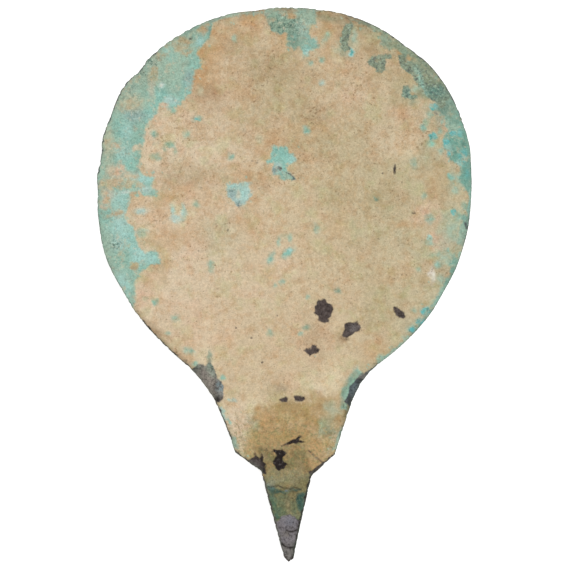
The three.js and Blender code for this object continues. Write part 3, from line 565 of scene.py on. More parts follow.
# Tints within the verdigris: colour, middle, width, height, strength and turn.
VERDIGRIS_TINTS = [
    ("sage", -62, 79, 12, 16, 0.7), ("ash", -57, 84, 8, 7, 0.9), ("ash", -53, 89, 7, 5, 0.9),
    ("ash", -61, 77, 5, 8, 0.6), ("sage", -44, 86, 14, 14, 0.6), ("sage", -47, 80, 8, 10, 0.5),
    ("cyan", -33.6, 97, 3, 4, 0.8), ("aqua", -45, 92, 5, 6, 0.8), ("cyan", -46.5, 93.5, 2.4, 3, 0.6),
    ("deep_teal", -29.6, 101, 1.6, 8, 0.6), ("aqua", -38.3, 77, 5, 12, 0.9), ("aqua", -36, 86, 4, 10, 0.6),
    ("aqua", -49, 75.6, 8, 6, 1.0), ("aqua", -43, 72.6, 6, 3.5, 0.9), ("blue_grey", -38, 82, 4, 6, 0.7),
    ("pale_aqua", -43.5, 73.3, 2.6, 2.6, 0.7), ("soil_pink", -52.8, 78, 2.5, 7, 0.5),
    ("blue_grey", -59.7, 68, 9, 6, 0.7), ("aqua", -53.5, 70.5, 5, 5, 0.9), ("cyan", -52, 66.5, 4, 3, 0.6),
    ("aqua", -66, 62, 8, 8, 0.8), ("cyan", -63, 61, 4, 7, 0.6), ("sage", -70, 54, 8, 12, 0.8),
    ("aqua", -64.5, 51, 7, 8, 0.8), ("pale_aqua", -49.1, 79.6, 2.2, 2.2, 1.0),
    ("aqua", -54.5, 42.5, 6, 3, 0.8), ("cyan", -58, 12, 6, 8, 0.9), ("cyan", -53, 10.5, 6, 4, 0.8),
    ("aqua", -61, 22, 6, 10, 0.7), ("cyan", -65, 22, 10, 10, 0.8), ("cyan", -56, 42.4, 9, 4, 0.9),
    ("pale_aqua", -55.3, 38, 5, 3, 0.9), ("chalk", -63.5, 36.9, 5, 1.2, 0.7), ("ash", -67.5, 16, 6, 4, 0.8),
    ("sage", -71, 14, 6, 14, 0.7), ("cyan", -65, 0, 7, 10, 0.7), ("ash", -70, 5, 4, 8, 0.5),
    ("cyan", -66, 32, 7, 5, 0.5), ("moss", 2, 104, 14, 10, 0.8), ("deep_teal", 3.6, 101, 3.4, 11, 0.5),
    ("moss", -3.5, 103.5, 7, 6, 0.6), ("aqua", 10, 94, 7, 7, 0.8), ("cyan", 9, 93, 3, 3, 0.7),
    ("sage", 9, 106, 6, 5, 0.6), ("pale_aqua", 7.8, 102.4, 5, 6, 0.4), ("band_teal", 70, 60, 14, 26, 0.9),
    ("band_teal", 73, 45, 6, 20, 0.9), ("grey_teal", 66, 72, 8, 10, 0.7), ("grey_teal", 63, 71, 6, 6, 0.8),
    ("sage", 67.6, 62.4, 5, 5, 0.8), ("soil_green", 54.3, 90.6, 5, 4, 0.5),
    ("grey_teal", 53.6, 79, 5, 5, 0.8), ("deep_teal", 62.8, 70.4, 4, 4, 0.5), ("sage", 70, 20, 8, 9, 0.8),
    ("band_teal", 67, 4, 8, 14, 0.7), ("cyan", 3.4, 50, 4.5, 4, 0.8), ("aqua", -1.6, 52, 8, 5, 0.7),
    ("pale_aqua", -2.6, 47.6, 2.4, 1.8, 1.0), ("blue_grey", -3.8, 45.6, 2.6, 2.6, 1.0),
    ("sage", 1.5, 43.4, 4, 4, 0.8), ("cyan", -17, 36.2, 5, 6, 0.7), ("blue_grey", -20.8, 36.4, 3, 4.6, 0.9),
    ("blue_grey", -18.2, 32.3, 3, 3, 0.9), ("cyan", -21, 39.2, 3, 2.4, 0.7),
    ("soil_light", -18.2, 36.3, 1.6, 3.4, 0.7), ("sage", -15.8, 40, 3, 2, 0.5),
    ("lichen", 44, 98, 22, 8, 0.75, -42), ("lichen", 33, 103.5, 16, 5, 0.75, -25),
    ("bright", 70, 60.5, 2, 2.6, 0.7), ("bright", 72.2, 52, 1.8, 3.4, 0.6), ("cyan", 69.4, 48, 2.4, 3, 0.7),
    ("bright", 73.4, 44.5, 1.6, 3.4, 0.5), ("dark_teal", 71.6, 56.4, 1.6, 3, 0.6),
    ("dark_teal", 69, 65, 1.2, 1.6, 0.5), ("dark_teal", 68.4, 53, 1.2, 1.2, 0.7),
    ("soil_green", -61, 72.4, 10, 5.4, 0.8), ("chalk", -49.1, 79.6, 1.4, 1.4, 0.6),
    ("pale_aqua", -46.2, 73.3, 3.4, 3.4, 1.0), ("soil_green", -70.5, 56, 4, 16, 0.5),
    ("soil_pink", -67.2, 45.2, 6, 5, 0.7), ("soil_light", -62, 43.6, 6, 3, 0.6),
    ("cyan", -66.5, 35.4, 9, 5, 0.6), ("pale_aqua", -64, 27, 7, 6, 0.6), ("sage", -41, 95.6, 9, 10, 0.8),
    ("cyan", -65, 16.5, 8, 6, 0.6), ("soil_pink", -70, 36, 5, 5, 0.5), ("pale_aqua", -64, 53, 6, 6, 0.5),
    ("bright", 71.6, 51, 3, 5, 0.7), ("moss", -56.5, 83, 7, 7, 0.5), ("sage", -62.5, 74, 9, 7, 0.5),
    ("pale_aqua", 65.4, 54.6, 3, 3, 0.4), ("sage", -55, 90, 18, 12, 0.5),
    ("deep_teal", 50, 88, 10, 3, 0.5, -50), ("lichen", 55, 90, 20, 6, 0.8, -45),
]

# Soil that veils the verdigris: its colour, middle, width, height, strength and turn.
SOIL_VEILS = [
    ("soil", -68.6, 40.4, 11, 4.6, 1.0, 4), ("soil", -60.8, 40.2, 10, 4, 1.0, -6),
    ("rust", -63.6, 39.6, 12, 1.8, 0.7, 12), ("brown", -62.4, 41, 5, 1.2, 0.5, 20),
    ("soil_pink", -71, 34.6, 3, 6, 0.9), ("rust", -70.4, 33.4, 3, 4, 0.7),
    ("rust", -67.6, 28.2, 8, 2.6, 0.9, 10), ("soil_pink", -65.5, 47, 5, 5, 0.7),
    ("soil_pink", -67.3, 55.5, 5, 4, 0.6), ("soil_light", -58, 54.8, 4, 3, 0.9),
    ("rust", -60, 7.3, 3.4, 3.4, 1.0), ("brown", -60.2, 6.6, 2, 1.6, 0.8),
    ("olive", -65, 12.5, 3.4, 6, 0.6), ("rust", -41.4, 98, 4.4, 3.4, 0.9, 30),
    ("rust", -33, 102, 5, 4, 0.7, 30), ("olive", -37, 100.5, 6, 4, 0.5, 30),
    ("rust", -30.5, 104.5, 3, 4, 0.5), ("olive", -47, 96.4, 4, 4, 0.6),
    ("olive", -52, 83.5, 4, 8, 0.7, -20), ("soil_green", -62, 73, 10, 6, 0.7),
    ("olive", -50, 91.5, 6, 5, 0.6), ("olive", -44, 89, 6, 4, 0.4), ("soil_green", -64.5, 78, 6, 9, 0.5),
    ("rust", -64.4, 70.4, 3, 3, 0.5), ("soil_light", -56.6, 47.6, 4, 4, 0.6),
    ("soil_pink", -48.5, 71.5, 4, 3, 0.9), ("olive", -70.5, 58, 4, 12, 0.45),
    ("soil_pink", -71, 54, 4, 5, 0.4), ("rust", -70.4, 43.6, 4, 3, 0.5),
    ("rust", 49.4, 90.1, 3.4, 2.6, 1.0), ("rust", 45.3, 92.9, 3.6, 1.4, 0.8, -30),
    ("olive", 53, 88.4, 10, 3, 0.6, -45), ("soil_pink", 57.5, 83.6, 5, 2.4, 0.5, -35),
    ("olive", 43, 98, 8, 5, 0.5, -42), ("brown", 60, 84, 9, 3, 0.5, -52),
    ("soil_pink", 58.5, 73, 3, 2.6, 0.6), ("soil_pink", 64, 65, 4, 7, 0.35), ("rust", 67, 69, 3, 5, 0.4),
    ("soil_pink", 66.4, 52, 4, 4, 0.4), ("rust", 2.7, 107.6, 8, 2.6, 0.9), ("olive", -5.6, 106, 4, 4, 0.5),
    ("olive", 8.6, 104, 4, 5, 0.5), ("soil_pink", 69, 57, 2.6, 7, 0.4), ("rust", 66, 3.4, 3, 3, 0.5),
    ("olive", 69.2, 13.8, 6.4, 5.6, 1.0), ("soil_pink", -67.4, 45.4, 6, 4, 0.8),
    ("soil_pink", -71.2, 30.8, 6, 3, 0.9), ("rust", -61, 43.4, 6, 2, 0.7), ("olive", -41, 96.4, 9, 8, 0.8),
    ("rust", -38.8, 93.6, 4, 4, 0.6), ("brown", 2, 110, 15, 2.6, 0.8), ("olive", -64.8, -6, 3.4, 9, 0.7),
    ("soil_pink", 65, 60, 3, 6, 0.5),
]

# Cracks and flecks of bare metal, and dark lines along the edge; at the lower left and the tang's sides
# these are painted shade.
DARK_FLECKS = [
    *several(Line, "bare",
        ("violet", 0.7, (-2.2, 46.8), (-1, 46.2), (-1.6, 45.6)),
        ("slate", 0.4, (0.6, 44.6), (2.4, 44), (4.3, 42.2)), ("slate", 0.35, (1, 41.6), (4.3, 42))),
    *several(Dot, "bare",
        ("slate", -18.2, 31, 0.7, 1.1), ("umber", -37.5, 98.3, 1.0)),
    *several(Line, "bare",
        ("violet", 0.5, (60.2, 68.9), (61.2, 68.2)), ("slate", 1.0, (72.4, 24.8), (73, 22.6)),
        ("umber", 0.5, (44.1, 47.9), (44.1, 46)), ("black", 0.95, (44.1, 46.2), (44.1, 44.6)),
        ("black", 0.5, (51, 28.7), (52.4, 28.7))),
    *several(Dot, "bare",
        ("umber", 39.2, 44.4, 0.6), ("umber", -22.8, 21.6, 0.7), ("brown", -23.8, 24.2, 0.7, 0.5),
        ("brown", -21.6, 24.6, 0.6), ("brown", -26.6, -1.6, 0.6), ("brown", -24.6, -3.2, 0.6),
        ("brown", -27, -4.8, 0.6), ("umber", -34.1, 13.5, 0.5), ("umber", -2.7, -12.4, 0.8),
        ("umber", -19.1, -17.1, 0.8), ("umber", -13.2, -21.4, 0.8), ("umber", -8.6, -31, 0.8),
        ("umber", -27.4, 7.7, 0.7)),
    # Painted shadow: black lines along the lower left edge, on its shaded side.
    *several(RimStrip, "bare",
        ("black", -1, -33, -14, 0.42), ("black", -1, -25, -20, 0.55)),
    Dot("bare", "umber", -39.6, -30.6, 1.2, 0.9),
    # The last two strips are painted shade down the tang's right and left edges, where they round off.
    *several(RimStrip, "bare",
        ("umber", -1, -62, -46, 0.5), ("slate", -1, 44, 96, 0.32), ("slate", 1, 62, 108, 0.25),
        ("black", 1, -112, -74, 0.7), ("umber", -1, -112, -66, 0.6)),
    *several(Dot, "bare",
        ("umber", -11.4, 48.2, 0.8, 0.5), ("umber", -12.6, 49, 0.6, 0.4)),
]

MARKS = [
    LEFT_BAND, CROWN_PATCH, RIGHT_SHOULDER, RIGHT_BAND, MIDDLE_BLOB, KITE,
    *VERDIGRIS_STRIPS,
    *[soft_dot(*dot) for dot in VERDIGRIS_DOTS],
    *EATEN_PATCHES, *BARE_SPOTS, *NECK_SPOTS, *TANG_SPOTS, *DARK_FLECKS,
]
CRUST_STAINS = several(cloud, "crust", *VERDIGRIS_TINTS)
VEILS = several(cloud, "soil", *SOIL_VEILS)
LAYERS = ("crust", "pitted", "bare")
FAR = 8.0                     # how deep or how far off a mark is still told apart, in millimetres

# Heights between which a coat comes in, in millimetres below the middle of the mirror's length.
GRIME, TANG_CRUST = (44.0, 56.0), (72.0, 79.0)
BACK_OCHRE, BACK_TANG_CRUST, BACK_CLEAN_METAL = (50.0, 66.0), (68.0, 80.0), (91.5, 94.0)

# How thickly pits lie in verdigris of these tints.
PITTED_SHADES = {"ash": 1.7, "moss": 2.3, "deep_teal": 1.4, "blue_grey": 1.0, "lichen": 1.3}

# What the coats are where no mark lies: each layer's colour, and how much there is of soil on the
# verdigris, of brown stains, of the neck's grime, of pits, of soiling and painted shade on the bevel and
# of the tang's crust.
PLAIN_TINTS = {"soil": "soil", "crust": "turquoise", "pitted": "dark_green", "bare": "umber"}
PLAIN_SHARES = {"veil": 0.0, "stain": 0.5, "grime": 0.0, "pits": 0.42, "dirt": 1.0, "tang": 0.0}


# ---------------------------------------------------------------- noises of the mesh and of its tints

# Size of the features in millimetres, seed and octaves.
NOISES = {
    "mottle": (4.5, 6, 3), "fleck": (1.3, 63, 2), "uneven_rim": (2.2, 64, 3),
    "sage_crust": (6.0, 5, 3), "ash_crust": (5.0, 13, 3), "aqua_crust": (4.0, 14, 3),
    "green_film": (4.0, 8, 3), "green_specks": (2.3, 7, 3), "thin_veil": (5.0, 9, 3),
    "stains": (18.0, 10, 3), "back_bloom": (24.0, 21, 3), "back_flecks": (6.0, 22, 3),
    "back_bare": (13.0, 23, 3), "back_pitted": (17.0, 24, 3), "back_brown": (15.0, 25, 3),
    "back_sage": (11.0, 26, 3), "tang_line": (4.0, 27, 3), "back_grit": (4.0, 41, 3),
    "lumps": (2.6, 31, 3), "grains": (1.3, 32, 2), "swell": (34.0, 33, 2), "ripple": (8.0, 34, 2),
    "pits": (3.1, 35, 2), "nibbles": (1.7, 51, 3),
}

SEED_STEP = 7.31              # how far apart in the noise two seeds lie

# How the places of the marks are stirred: size of the waves and reach in millimetres, and seed.
STIRS = {"sway": (2.4, 0.5, 1), "drift": (9.0, 3.2, 3), "wander": (3.0, 1.6, 11), "fray": (1.5, 0.5, 61)}


def fractal(places, size, seed, octaves):
    """Smooth noise between about -1 and 1 at places in millimetres, with features of that size."""
    level = seed * SEED_STEP
    return np.array([noise.fractal(Vector((x, y, level)), 1.0, 2.0, octaves) for x, y in places / size])


def noise_at(places, name):
    return fractal(places, *NOISES[name])


def stirred(places, name):
    """How far each place is moved, in millimetres to the right and up."""
    size, reach, seed = STIRS[name]
    return np.stack([fractal(places, size, seed + axis, 3) for axis in (0, 1)], axis=1) * reach


# ---------------------------------------------------------------- the coats on the casting

class Coats:
    """The colours and reaches of the soil and of the layers that show through it or lie on it."""

    def __init__(self, count, colours):
        self.colours = colours
        self.depth = {layer: np.full(count, -FAR) for layer in LAYERS}
        self.tint = {layer: np.tile(self.colour(shade), (count, 1))
                     for layer, shade in PLAIN_TINTS.items()}
        self.share = {name: np.full(count, share) for name, share in PLAIN_SHARES.items()}

    def colour(self, name):
        return np.array(getattr(self.colours, name)[:])

    def tinge(self, layer, colour, weight):
        coat = self.tint[layer]
        coat += (self.colour(colour) - coat) * weight[:, None]

    def add(self, mark, places, rim):
        """Lays a mark. Its colour reaches past its outline, except over a mark of the same layer."""
        depth = np.clip(mark.depth(places, rim), -FAR, FAR)
        shown = self.cover(mark.layer)
        weight = eased(depth, -1.4, -0.3) * (1 - shown) + eased(depth, -0.35, 0.35) * shown
        self.tinge(mark.layer, mark.colour, weight)
        self.depth[mark.layer] = np.maximum(self.depth[mark.layer], depth)

    def raise_share(self, name, values):
        self.share[name] = np.maximum(self.share[name], values)

    def cover(self, layer):
        return eased(self.depth[layer], -0.5, 0.5)


def painted(places, rim, back, colours):
    """The coats of the whole casting: its back has its own, and all the rest has the marks."""
    coats = Coats(len(places), colours)
    for side, paint_side in ((~back, paint_face), (back, paint_back)):
        part = Coats(int(side.sum()), colours)
        paint_side(part, places[side], rim[side])
        for whole, piece in ((coats.depth, part.depth), (coats.tint, part.tint), (coats.share, part.share)):
            for name, values in whole.items():
                values[side] = piece[name]
    return coats


def paint_face(coats, places, rim):
    """Lays the marks of the mirror face, each with an uneven outline."""
    sway, mottle = stirred(places, "sway"), noise_at(places, "mottle")
    fray = sway + stirred(places, "fray")
    stain_soil(coats, places, rim, mottle)
    lay_marks(coats, places, rim, sway, fray)
    tint_crust(coats, places, rim, sway)
    for dot in MARKS:
        if dot.colour in VIVID:
            coats.tinge("crust", dot.colour, np.clip(dot.weight(places + fray, rim), 0, 1))
    for veil in VEILS:
        weight = np.clip(veil.weight(places + sway * 1.5, rim) * (1 + 0.6 * mottle), 0, 1)
        coats.tinge("soil", veil.colour, weight)
        coats.raise_share("veil", weight)
    scatter_verdigris(coats, places)


def stain_soil(coats, places, rim, mottle):
    """Stains the soil crust, and says where the neck's grime, the tang, and the bevel's soiling and painted
    shade lie.
    """
    x, y = places.T
    drift = stirred(places, "drift") + stirred(places, "wander")
    for stain in [*SOIL_CLOUDS, *NECK_WASHES]:
        reach = 0.1 if isinstance(stain.mark, Line) else min(1.0, 0.3 + stain.softness / 3)
        weight = stain.weight(places + drift * reach, rim) * (1 + 0.5 * mottle)
        coats.tinge(stain.layer, stain.colour, np.clip(weight, 0, 1))
    coats.share["grime"] = eased(-y - 0.25 * np.abs(x), *GRIME)
    coats.share["tang"] = eased(-y, *TANG_CRUST)
    # Soiling and painted shade on the bevel: less of it at the left, painted lighter there as that side
    # faced the light.
    coats.share["dirt"] = 1 - 0.7 * eased(-x, 46.0, 64.0)
    towards_crown = eased(y, -20.0, 70.0)
    coats.share["stain"] = 0.35 + 0.4 * towards_crown + 0.35 * noise_at(places, "stains")


def lay_marks(coats, places, rim, sway, fray):
    fleck = noise_at(places, "fleck")
    uneven_rim = rim + 0.5 * noise_at(places, "uneven_rim")
    for mark in MARKS:
        if isinstance(mark, Soft):
            weight = mark.weight(places + fray, rim) * (0.95 + 0.55 * fleck)
            coats.tinge(mark.layer, mark.colour, np.clip(weight, 0, 1))
        else:
            coats.add(mark, places + sway * (0.3 if isinstance(mark, Line) else 1.0), uneven_rim)


def tint_crust(coats, places, rim, sway):
    """Tints the verdigris, greyer towards the edge, and pits it where its tint is a pitted one."""
    towards_edge = eased(-rim, -9.0, -1.0)
    coats.tinge("crust", "sage", 0.6 * towards_edge * eased(noise_at(places, "sage_crust"), -0.5, 0.4))
    coats.tinge("crust", "ash", 0.6 * eased(noise_at(places, "ash_crust"), 0.05, 0.6))
    coats.tinge("crust", "aqua", 0.5 * eased(noise_at(places, "aqua_crust"), 0.1, 0.6))
    for stain in CRUST_STAINS:
        weight = stain.weight(places + sway, rim)
        coats.tinge(stain.layer, stain.colour, weight)
        coats.raise_share("pits", PITTED_SHADES.get(stain.colour, 0.0) * weight)


def scatter_verdigris(coats, places):
    """Specks and films of verdigris gather round the large patches, and thin soil lies on them."""
    near = eased(coats.depth["crust"], -7.0, 0.0)
    coats.tinge("soil", "soil_green", 0.6 * near * eased(noise_at(places, "green_film"), -0.1, 0.6))
    coats.tinge("soil", "aqua", 0.8 * eased(noise_at(places, "green_specks") + 0.45 * near, 0.90, 1.15))
    coats.raise_share("veil", 0.42 * eased(noise_at(places, "thin_veil"), 0.0, 0.6))


def paint_back(coats, places, rim):
    """Lays broad patches on the hidden side, which nothing shows: verdigris that thickens to the rim."""
    bloom = noise_at(places, "back_bloom") * 9 + noise_at(places, "back_flecks") * 3
    coats.depth["crust"] = bloom - 2.5 + 3.5 * eased(-rim, -12.0, 0.0)
    coats.depth["bare"] = noise_at(places, "back_bare") * 9 - 5.8
    coats.depth["pitted"] = noise_at(places, "back_pitted") * 9 - 5.2
    coats.tinge("soil", "soil_right", np.full(len(places), 0.7))
    coats.tinge("soil", "brown", 0.5 * eased(noise_at(places, "back_brown"), 0.0, 0.6))
    coats.tinge("crust", "sage", 0.7 * eased(noise_at(places, "back_sage"), -0.2, 0.5))
    below = -places[:, 1]
    coats.tinge("soil", "ochre", 0.9 * eased(below, *BACK_OCHRE))
    root = eased(below, *BACK_TANG_CRUST)
    coats.tinge("soil", "tang_olive", root)
    coats.tinge("crust", "tang_green", root)
    coats.depth["crust"] -= 3 * root
    clean = eased(noise_at(places, "tang_line") * 4 + below, *BACK_CLEAN_METAL)
    coats.depth["bare"] = np.maximum(coats.depth["bare"], clean * FAR - FAR / 2)
    coats.tinge("bare", "tang_grey", clean)


# ---------------------------------------------------------------- the relief of the casting

# The two laps of hammered metal near the tip: middle and height on the tang, and how far each bows.
LAPS = ((2.4, -97.5, 1.3), (2.3, -103.7, 1.5))
LAP_HALF_WIDTH = 3.6
FINE_GRIT = 0.02 * MM         # grit everywhere on the face
BARE_GRIT = 0.05 * MM         # grit of the bare metal
BACK_GRIT = 0.06 * MM         # grit of the back


def face_relief(coats, places, rim, sizes):
    """How far each place of the mirror face rises, in metres."""
    crust, pitted, bare = (coats.cover(layer) for layer in LAYERS)
    crust = crust * (1 - pitted) * (1 - bare)
    lumps, grains = noise_at(places, "lumps"), noise_at(places, "grains")
    rise = sizes.swell * (noise_at(places, "swell") + 0.3 * noise_at(places, "ripple"))
    rise += FINE_GRIT * grains
    rise += crust * (sizes.crust_rise + sizes.crust_grit * (0.8 * lumps + 0.6 * grains))
    rise += pitted * (-sizes.pitted_sink + sizes.pitted_grit * (lumps + 0.7 * grains))
    rise -= bare * (sizes.bare_sink + BARE_GRIT * grains)
    rise -= sizes.pit_depth * eased(noise_at(places, "pits"), 0.42, 0.62)
    return rise * eased(rim, 0.0, 1.0)


def lap_relief(places, sizes):
    """The metal drops sharply at each lap's bowed line and comes up again below it."""
    x, y = places.T
    fall = np.zeros(len(places))
    for middle_x, line_y, bow in LAPS:
        below = line_y - bow * (1 - ((x - middle_x) / LAP_HALF_WIDTH) ** 2) - y
        fall += eased(below, -0.35, 0.35) * (1 - eased(below, 0.6, 4.0))
    return -sizes.lap_drop * fall


def back_relief(places, rim):
    return BACK_GRIT * eased(noise_at(places, "back_grit"), 0.0, 1.0) * eased(rim, 0.5, 2.0)


def edge_bite(places, rim, sizes):
    """How far the edge is eaten away, in metres: most at the upper left and right and lower down."""
    x, y = places.T
    worn = 0.25 + 0.75 * eased(-x + 0.8 * y, 60.0, 110.0) + 0.5 * eased(-y - 0.2 * x, 5.0, 30.0)
    worn += 0.5 * eased(0.6 * x + y, 98.0, 112.0)
    bite = sizes.nibble * np.clip(worn, 0, 1) * eased(noise_at(places, "nibbles"), -0.1, 0.55)
    return bite * eased(-rim, -1.6, 0.0)


# ---------------------------------------------------------------- the casting

MERGE = 0.01 * MM             # points of the solid nearer than this are one
GRID_DEPTH = 8                # halvings of the grid that makes the faces even
WALL_SLOPE = 0.3              # upright share of a normal, under which a face belongs to the edge's wall
FLAT_SLOPE = 0.15             # upright share of a normal, over which a point belongs to face or back
MID_EDGE = 1.0 * MM           # height at which the way to the edge is measured
WALL_RIM = -0.6               # the rim distance that marks the wall for the finish
DOME_SLOPE = 0.5              # upright share of a normal, over which a point is surely on the dome
DOME_ROUNDS, WALL_ROUNDS = 150, 6


def select_only(piece):
    bpy.ops.object.select_all(action="DESELECT")
    piece.select_set(True)
    bpy.context.view_layer.objects.active = piece


def vectors(items, field):
    """One row of three numbers for each vertex of a mesh."""
    found = np.empty(len(items) * 3, np.float32)
    items.foreach_get(field, found)
    return found.reshape(-1, 3).astype(float)


def edge_distance(places, solid):
    """How far each place is from the edge of the mirror in plan, in millimetres, and which way is out."""
    walls = [list(f.vertices) for f in solid.data.polygons if abs(f.normal.z) < WALL_SLOPE]
    tree = BVHTree.FromPolygons([v.co for v in solid.data.vertices], walls)
    distance, outwards = np.empty(len(places)), np.empty((len(places), 2))
    for i, (x, y) in enumerate(places * MM):
        _, normal, _, reach = tree.find_nearest(Vector((x, y, MID_EDGE)))
        distance[i], outwards[i] = reach / MM, normal.xy
    return distance, outwards


class MIRROR_OT_casting(bpy.types.Operator):
    """Model the whole mirror, one bronze casting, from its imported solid"""
    bl_idname = "mirror.casting"
    bl_label = "Mirror Casting"

    def execute(self, context):
        sizes, colours = context.scene.mirror_sizes, context.scene.mirror_colours
        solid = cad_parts["mirror"]
        piece = self.copied(solid)
        self.divide(piece, sizes.cell)
        self.even_faces(piece, solid)
        self.shape_and_paint(piece, solid, sizes, colours)
        select_only(piece)
        bpy.ops.object.shade_smooth_by_angle(angle=math.radians(50))
        piece.data.materials.clear()
        piece.data.materials.append(patina_material(colours))
        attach(piece, "root")
        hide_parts("mirror")
        return {"FINISHED"}

    def copied(self, solid):
        """A copy of the solid, with its loose triangles joined."""
        piece = solid.copy()
        piece.data = solid.data.copy()
        piece.name = piece.data.name = PIECE
        piece.parent = None
        for key in [k for k in piece.keys() if k.startswith("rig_")]:
            del piece[key]
        bpy.context.scene.collection.objects.link(piece)
        select_only(piece)
        bpy.ops.object.mode_set(mode="EDIT")
        bpy.ops.mesh.select_all(action="SELECT")
        bpy.ops.mesh.remove_doubles(threshold=MERGE)
        bpy.ops.object.mode_set(mode="OBJECT")
        return piece

    def divide(self, piece, cell):
        """Gives the piece even square faces, twice as fine on the mirror face as on the back."""
        grid = piece.modifiers.new("Even Faces", "REMESH")
        grid.mode = "SHARP"
        grid.octree_depth = GRID_DEPTH
        grid.scale = max(piece.dimensions) / (cell * 2 ** GRID_DEPTH)
        grid.use_remove_disconnected = False
        bpy.ops.object.modifier_apply(modifier=grid.name)
        for top in (math.inf, TANG_FINE):
            bpy.ops.object.mode_set(mode="EDIT")
            bpy.ops.mesh.select_mode(type="FACE")
            bpy.ops.mesh.select_all(action="DESELECT")
            bpy.ops.object.mode_set(mode="OBJECT")
            for face in piece.data.polygons:
                face.select = face.normal.z > WALL_SLOPE and face.center.y < top
            bpy.ops.object.mode_set(mode="EDIT")
            bpy.ops.mesh.subdivide(number_cuts=1)
            bpy.ops.object.mode_set(mode="OBJECT")

    def even_faces(self, piece, solid):
        """Smooths the dome up and down, inside the bevel, and the wall and the rim of the back sideways."""
        points = vectors(piece.data.vertices, "co")
        upright = vectors(piece.data.vertex_normals, "vector")[:, 2]
        rim, _ = edge_distance(points[:, :2] / MM, solid)
        dome = eased(rim, 1.8, 3.4) * (upright > DOME_SLOPE)
        wall = eased(-rim, -1.6, -0.8) * (upright < WALL_SLOPE)
        self.smooth(piece, dome, (False, False, True), DOME_ROUNDS)
        self.smooth(piece, wall, (True, True, False), WALL_ROUNDS)

    def smooth(self, piece, share, axes, rounds):
        part = piece.vertex_groups.new(name="Part")
        for i in np.flatnonzero(share):
            part.add([int(i)], share[i], "REPLACE")
        even = piece.modifiers.new("Even", "SMOOTH")
        even.use_x, even.use_y, even.use_z = axes
        even.factor, even.iterations, even.vertex_group = 0.5, rounds, part.name
        select_only(piece)
        bpy.ops.object.modifier_apply(modifier=even.name)
        piece.vertex_groups.clear()

    def shape_and_paint(self, piece, solid, sizes, colours):
        mesh = piece.data
        points, upright = vectors(mesh.vertices, "co"), vectors(mesh.vertex_normals, "vector")[:, 2]
        places = points[:, :2] / MM
        rim, outwards = edge_distance(places, solid)
        front, back = upright > FLAT_SLOPE, upright < -FLAT_SLOPE
        coats = painted(places, rim, back, colours)

        rise = np.zeros(len(places))
        rise[front] = (face_relief(coats, places, rim, sizes) + lap_relief(places, sizes))[front]
        rise[back] = back_relief(places[back], rim[back])
        points[:, 2] += rise
        points[:, :2] -= outwards * edge_bite(places, rim, sizes)[:, None]
        low, high = (np.array(corner) for corner in CAD_BOX)
        points = np.clip(points, low, high)
        mesh.vertices.foreach_set("co", points.astype(np.float32).ravel())
        mesh.update()

        self.keep(mesh, "rim_distance", np.where(front | back, rim, WALL_RIM))
        for layer in LAYERS:
            self.keep(mesh, layer + "_depth", coats.depth[layer])
        for layer, colour in coats.tint.items():
            self.keep(mesh, layer + "_tint", colour)
        for name, share in coats.share.items():
            self.keep(mesh, name, share)

    def keep(self, mesh, name, values):
        """Stores a number or a colour for each vertex, for the finish to read."""
        kind, field = ("FLOAT", "value") if values.ndim == 1 else ("FLOAT_VECTOR", "vector")
        mesh.attributes.new(name, kind, "POINT").data.foreach_set(
            field, values.astype(np.float32).ravel())


# ---------------------------------------------------------------- the finish

# Noises of the finish: size of the features in millimetres, seed, detail and roughness.
GRAINS = {
    "broad": (9.0, 1, 3.0, 0.5), "middling": (3.4, 2, 3.0, 0.5), "small": (1.4, 3, 2.0, 0.6),
    "fine": (0.62, 4, 2.0, 0.7), "ragged": (1.5, 5, 3.0, 0.6), "green_film": (6.0, 6, 3.0, 0.5),
    "rust": (3.0, 7, 4.0, 0.6), "dull": (5.0, 17, 4.0, 0.65), "specks": (1.0, 8, 2.0, 0.6),
    "dots": (0.7, 18, 1.0, 0.5), "moss": (1.2, 15, 3.0, 0.65), "gold": (1.6, 16, 3.0, 0.65),
    "sage": (2.2, 9, 3.0, 0.6), "pale": (1.9, 14, 3.0, 0.6), "pits": (1.1, 11, 3.0, 0.65),
    "grit": (1.0, 12, 3.0, 0.7), "veil": (1.9, 10, 4.0, 0.65),
}
GRAIN_STEPS = (3.7, 1.9, 5.3)     # how far each seed moves a grain along the three axes
BUMP_HEIGHT = 0.12 * MM


class Value:
    """A shader socket in a sum: an expression on values adds its Math nodes."""

    def __init__(self, paint, socket):
        self.paint, self.socket = paint, socket

    def _math(self, operation, *terms):
        return self.paint.math(operation, *terms)

    def __add__(self, other):
        return self._math("ADD", self, other)

    def __sub__(self, other):
        return self._math("SUBTRACT", self, other)

    def __rsub__(self, other):
        return self._math("SUBTRACT", other, self)

    def __mul__(self, other):
        return self._math("MULTIPLY", self, other)

    __radd__, __rmul__ = __add__, __mul__


class Paint:
    """A material's nodes, made one by one."""

    def __init__(self, name):
        self.material = bpy.data.materials.new(name)
        self.material.use_nodes = True
        self.tree = self.material.node_tree
        self.tree.nodes.clear()

    def node(self, kind, settings=None, sockets=None):
        """Adds a node of that type with its settings, then gives its sockets values or links."""
        made = self.tree.nodes.new(kind)
        for name, value in (settings or {}).items():
            setattr(made, name, value)
        for name, value in (sockets or {}).items():
            value = value.socket if isinstance(value, Value) else value
            if isinstance(value, bpy.types.Node):
                value = value.outputs[0]
            if isinstance(value, bpy.types.NodeSocket):
                self.tree.links.new(value, made.inputs[name])
            else:
                made.inputs[name].default_value = value
        return made

    def math(self, operation, *terms):
        made = self.node("ShaderNodeMath", {"operation": operation}, dict(enumerate(terms)))
        return Value(self, made.outputs[0])

    def surface(self, sockets):
        """Ends the material with a principled shader."""
        shader = self.node("ShaderNodeBsdfPrincipled", None, sockets)
        self.node("ShaderNodeOutputMaterial", None, {"Surface": shader})
        return self.material


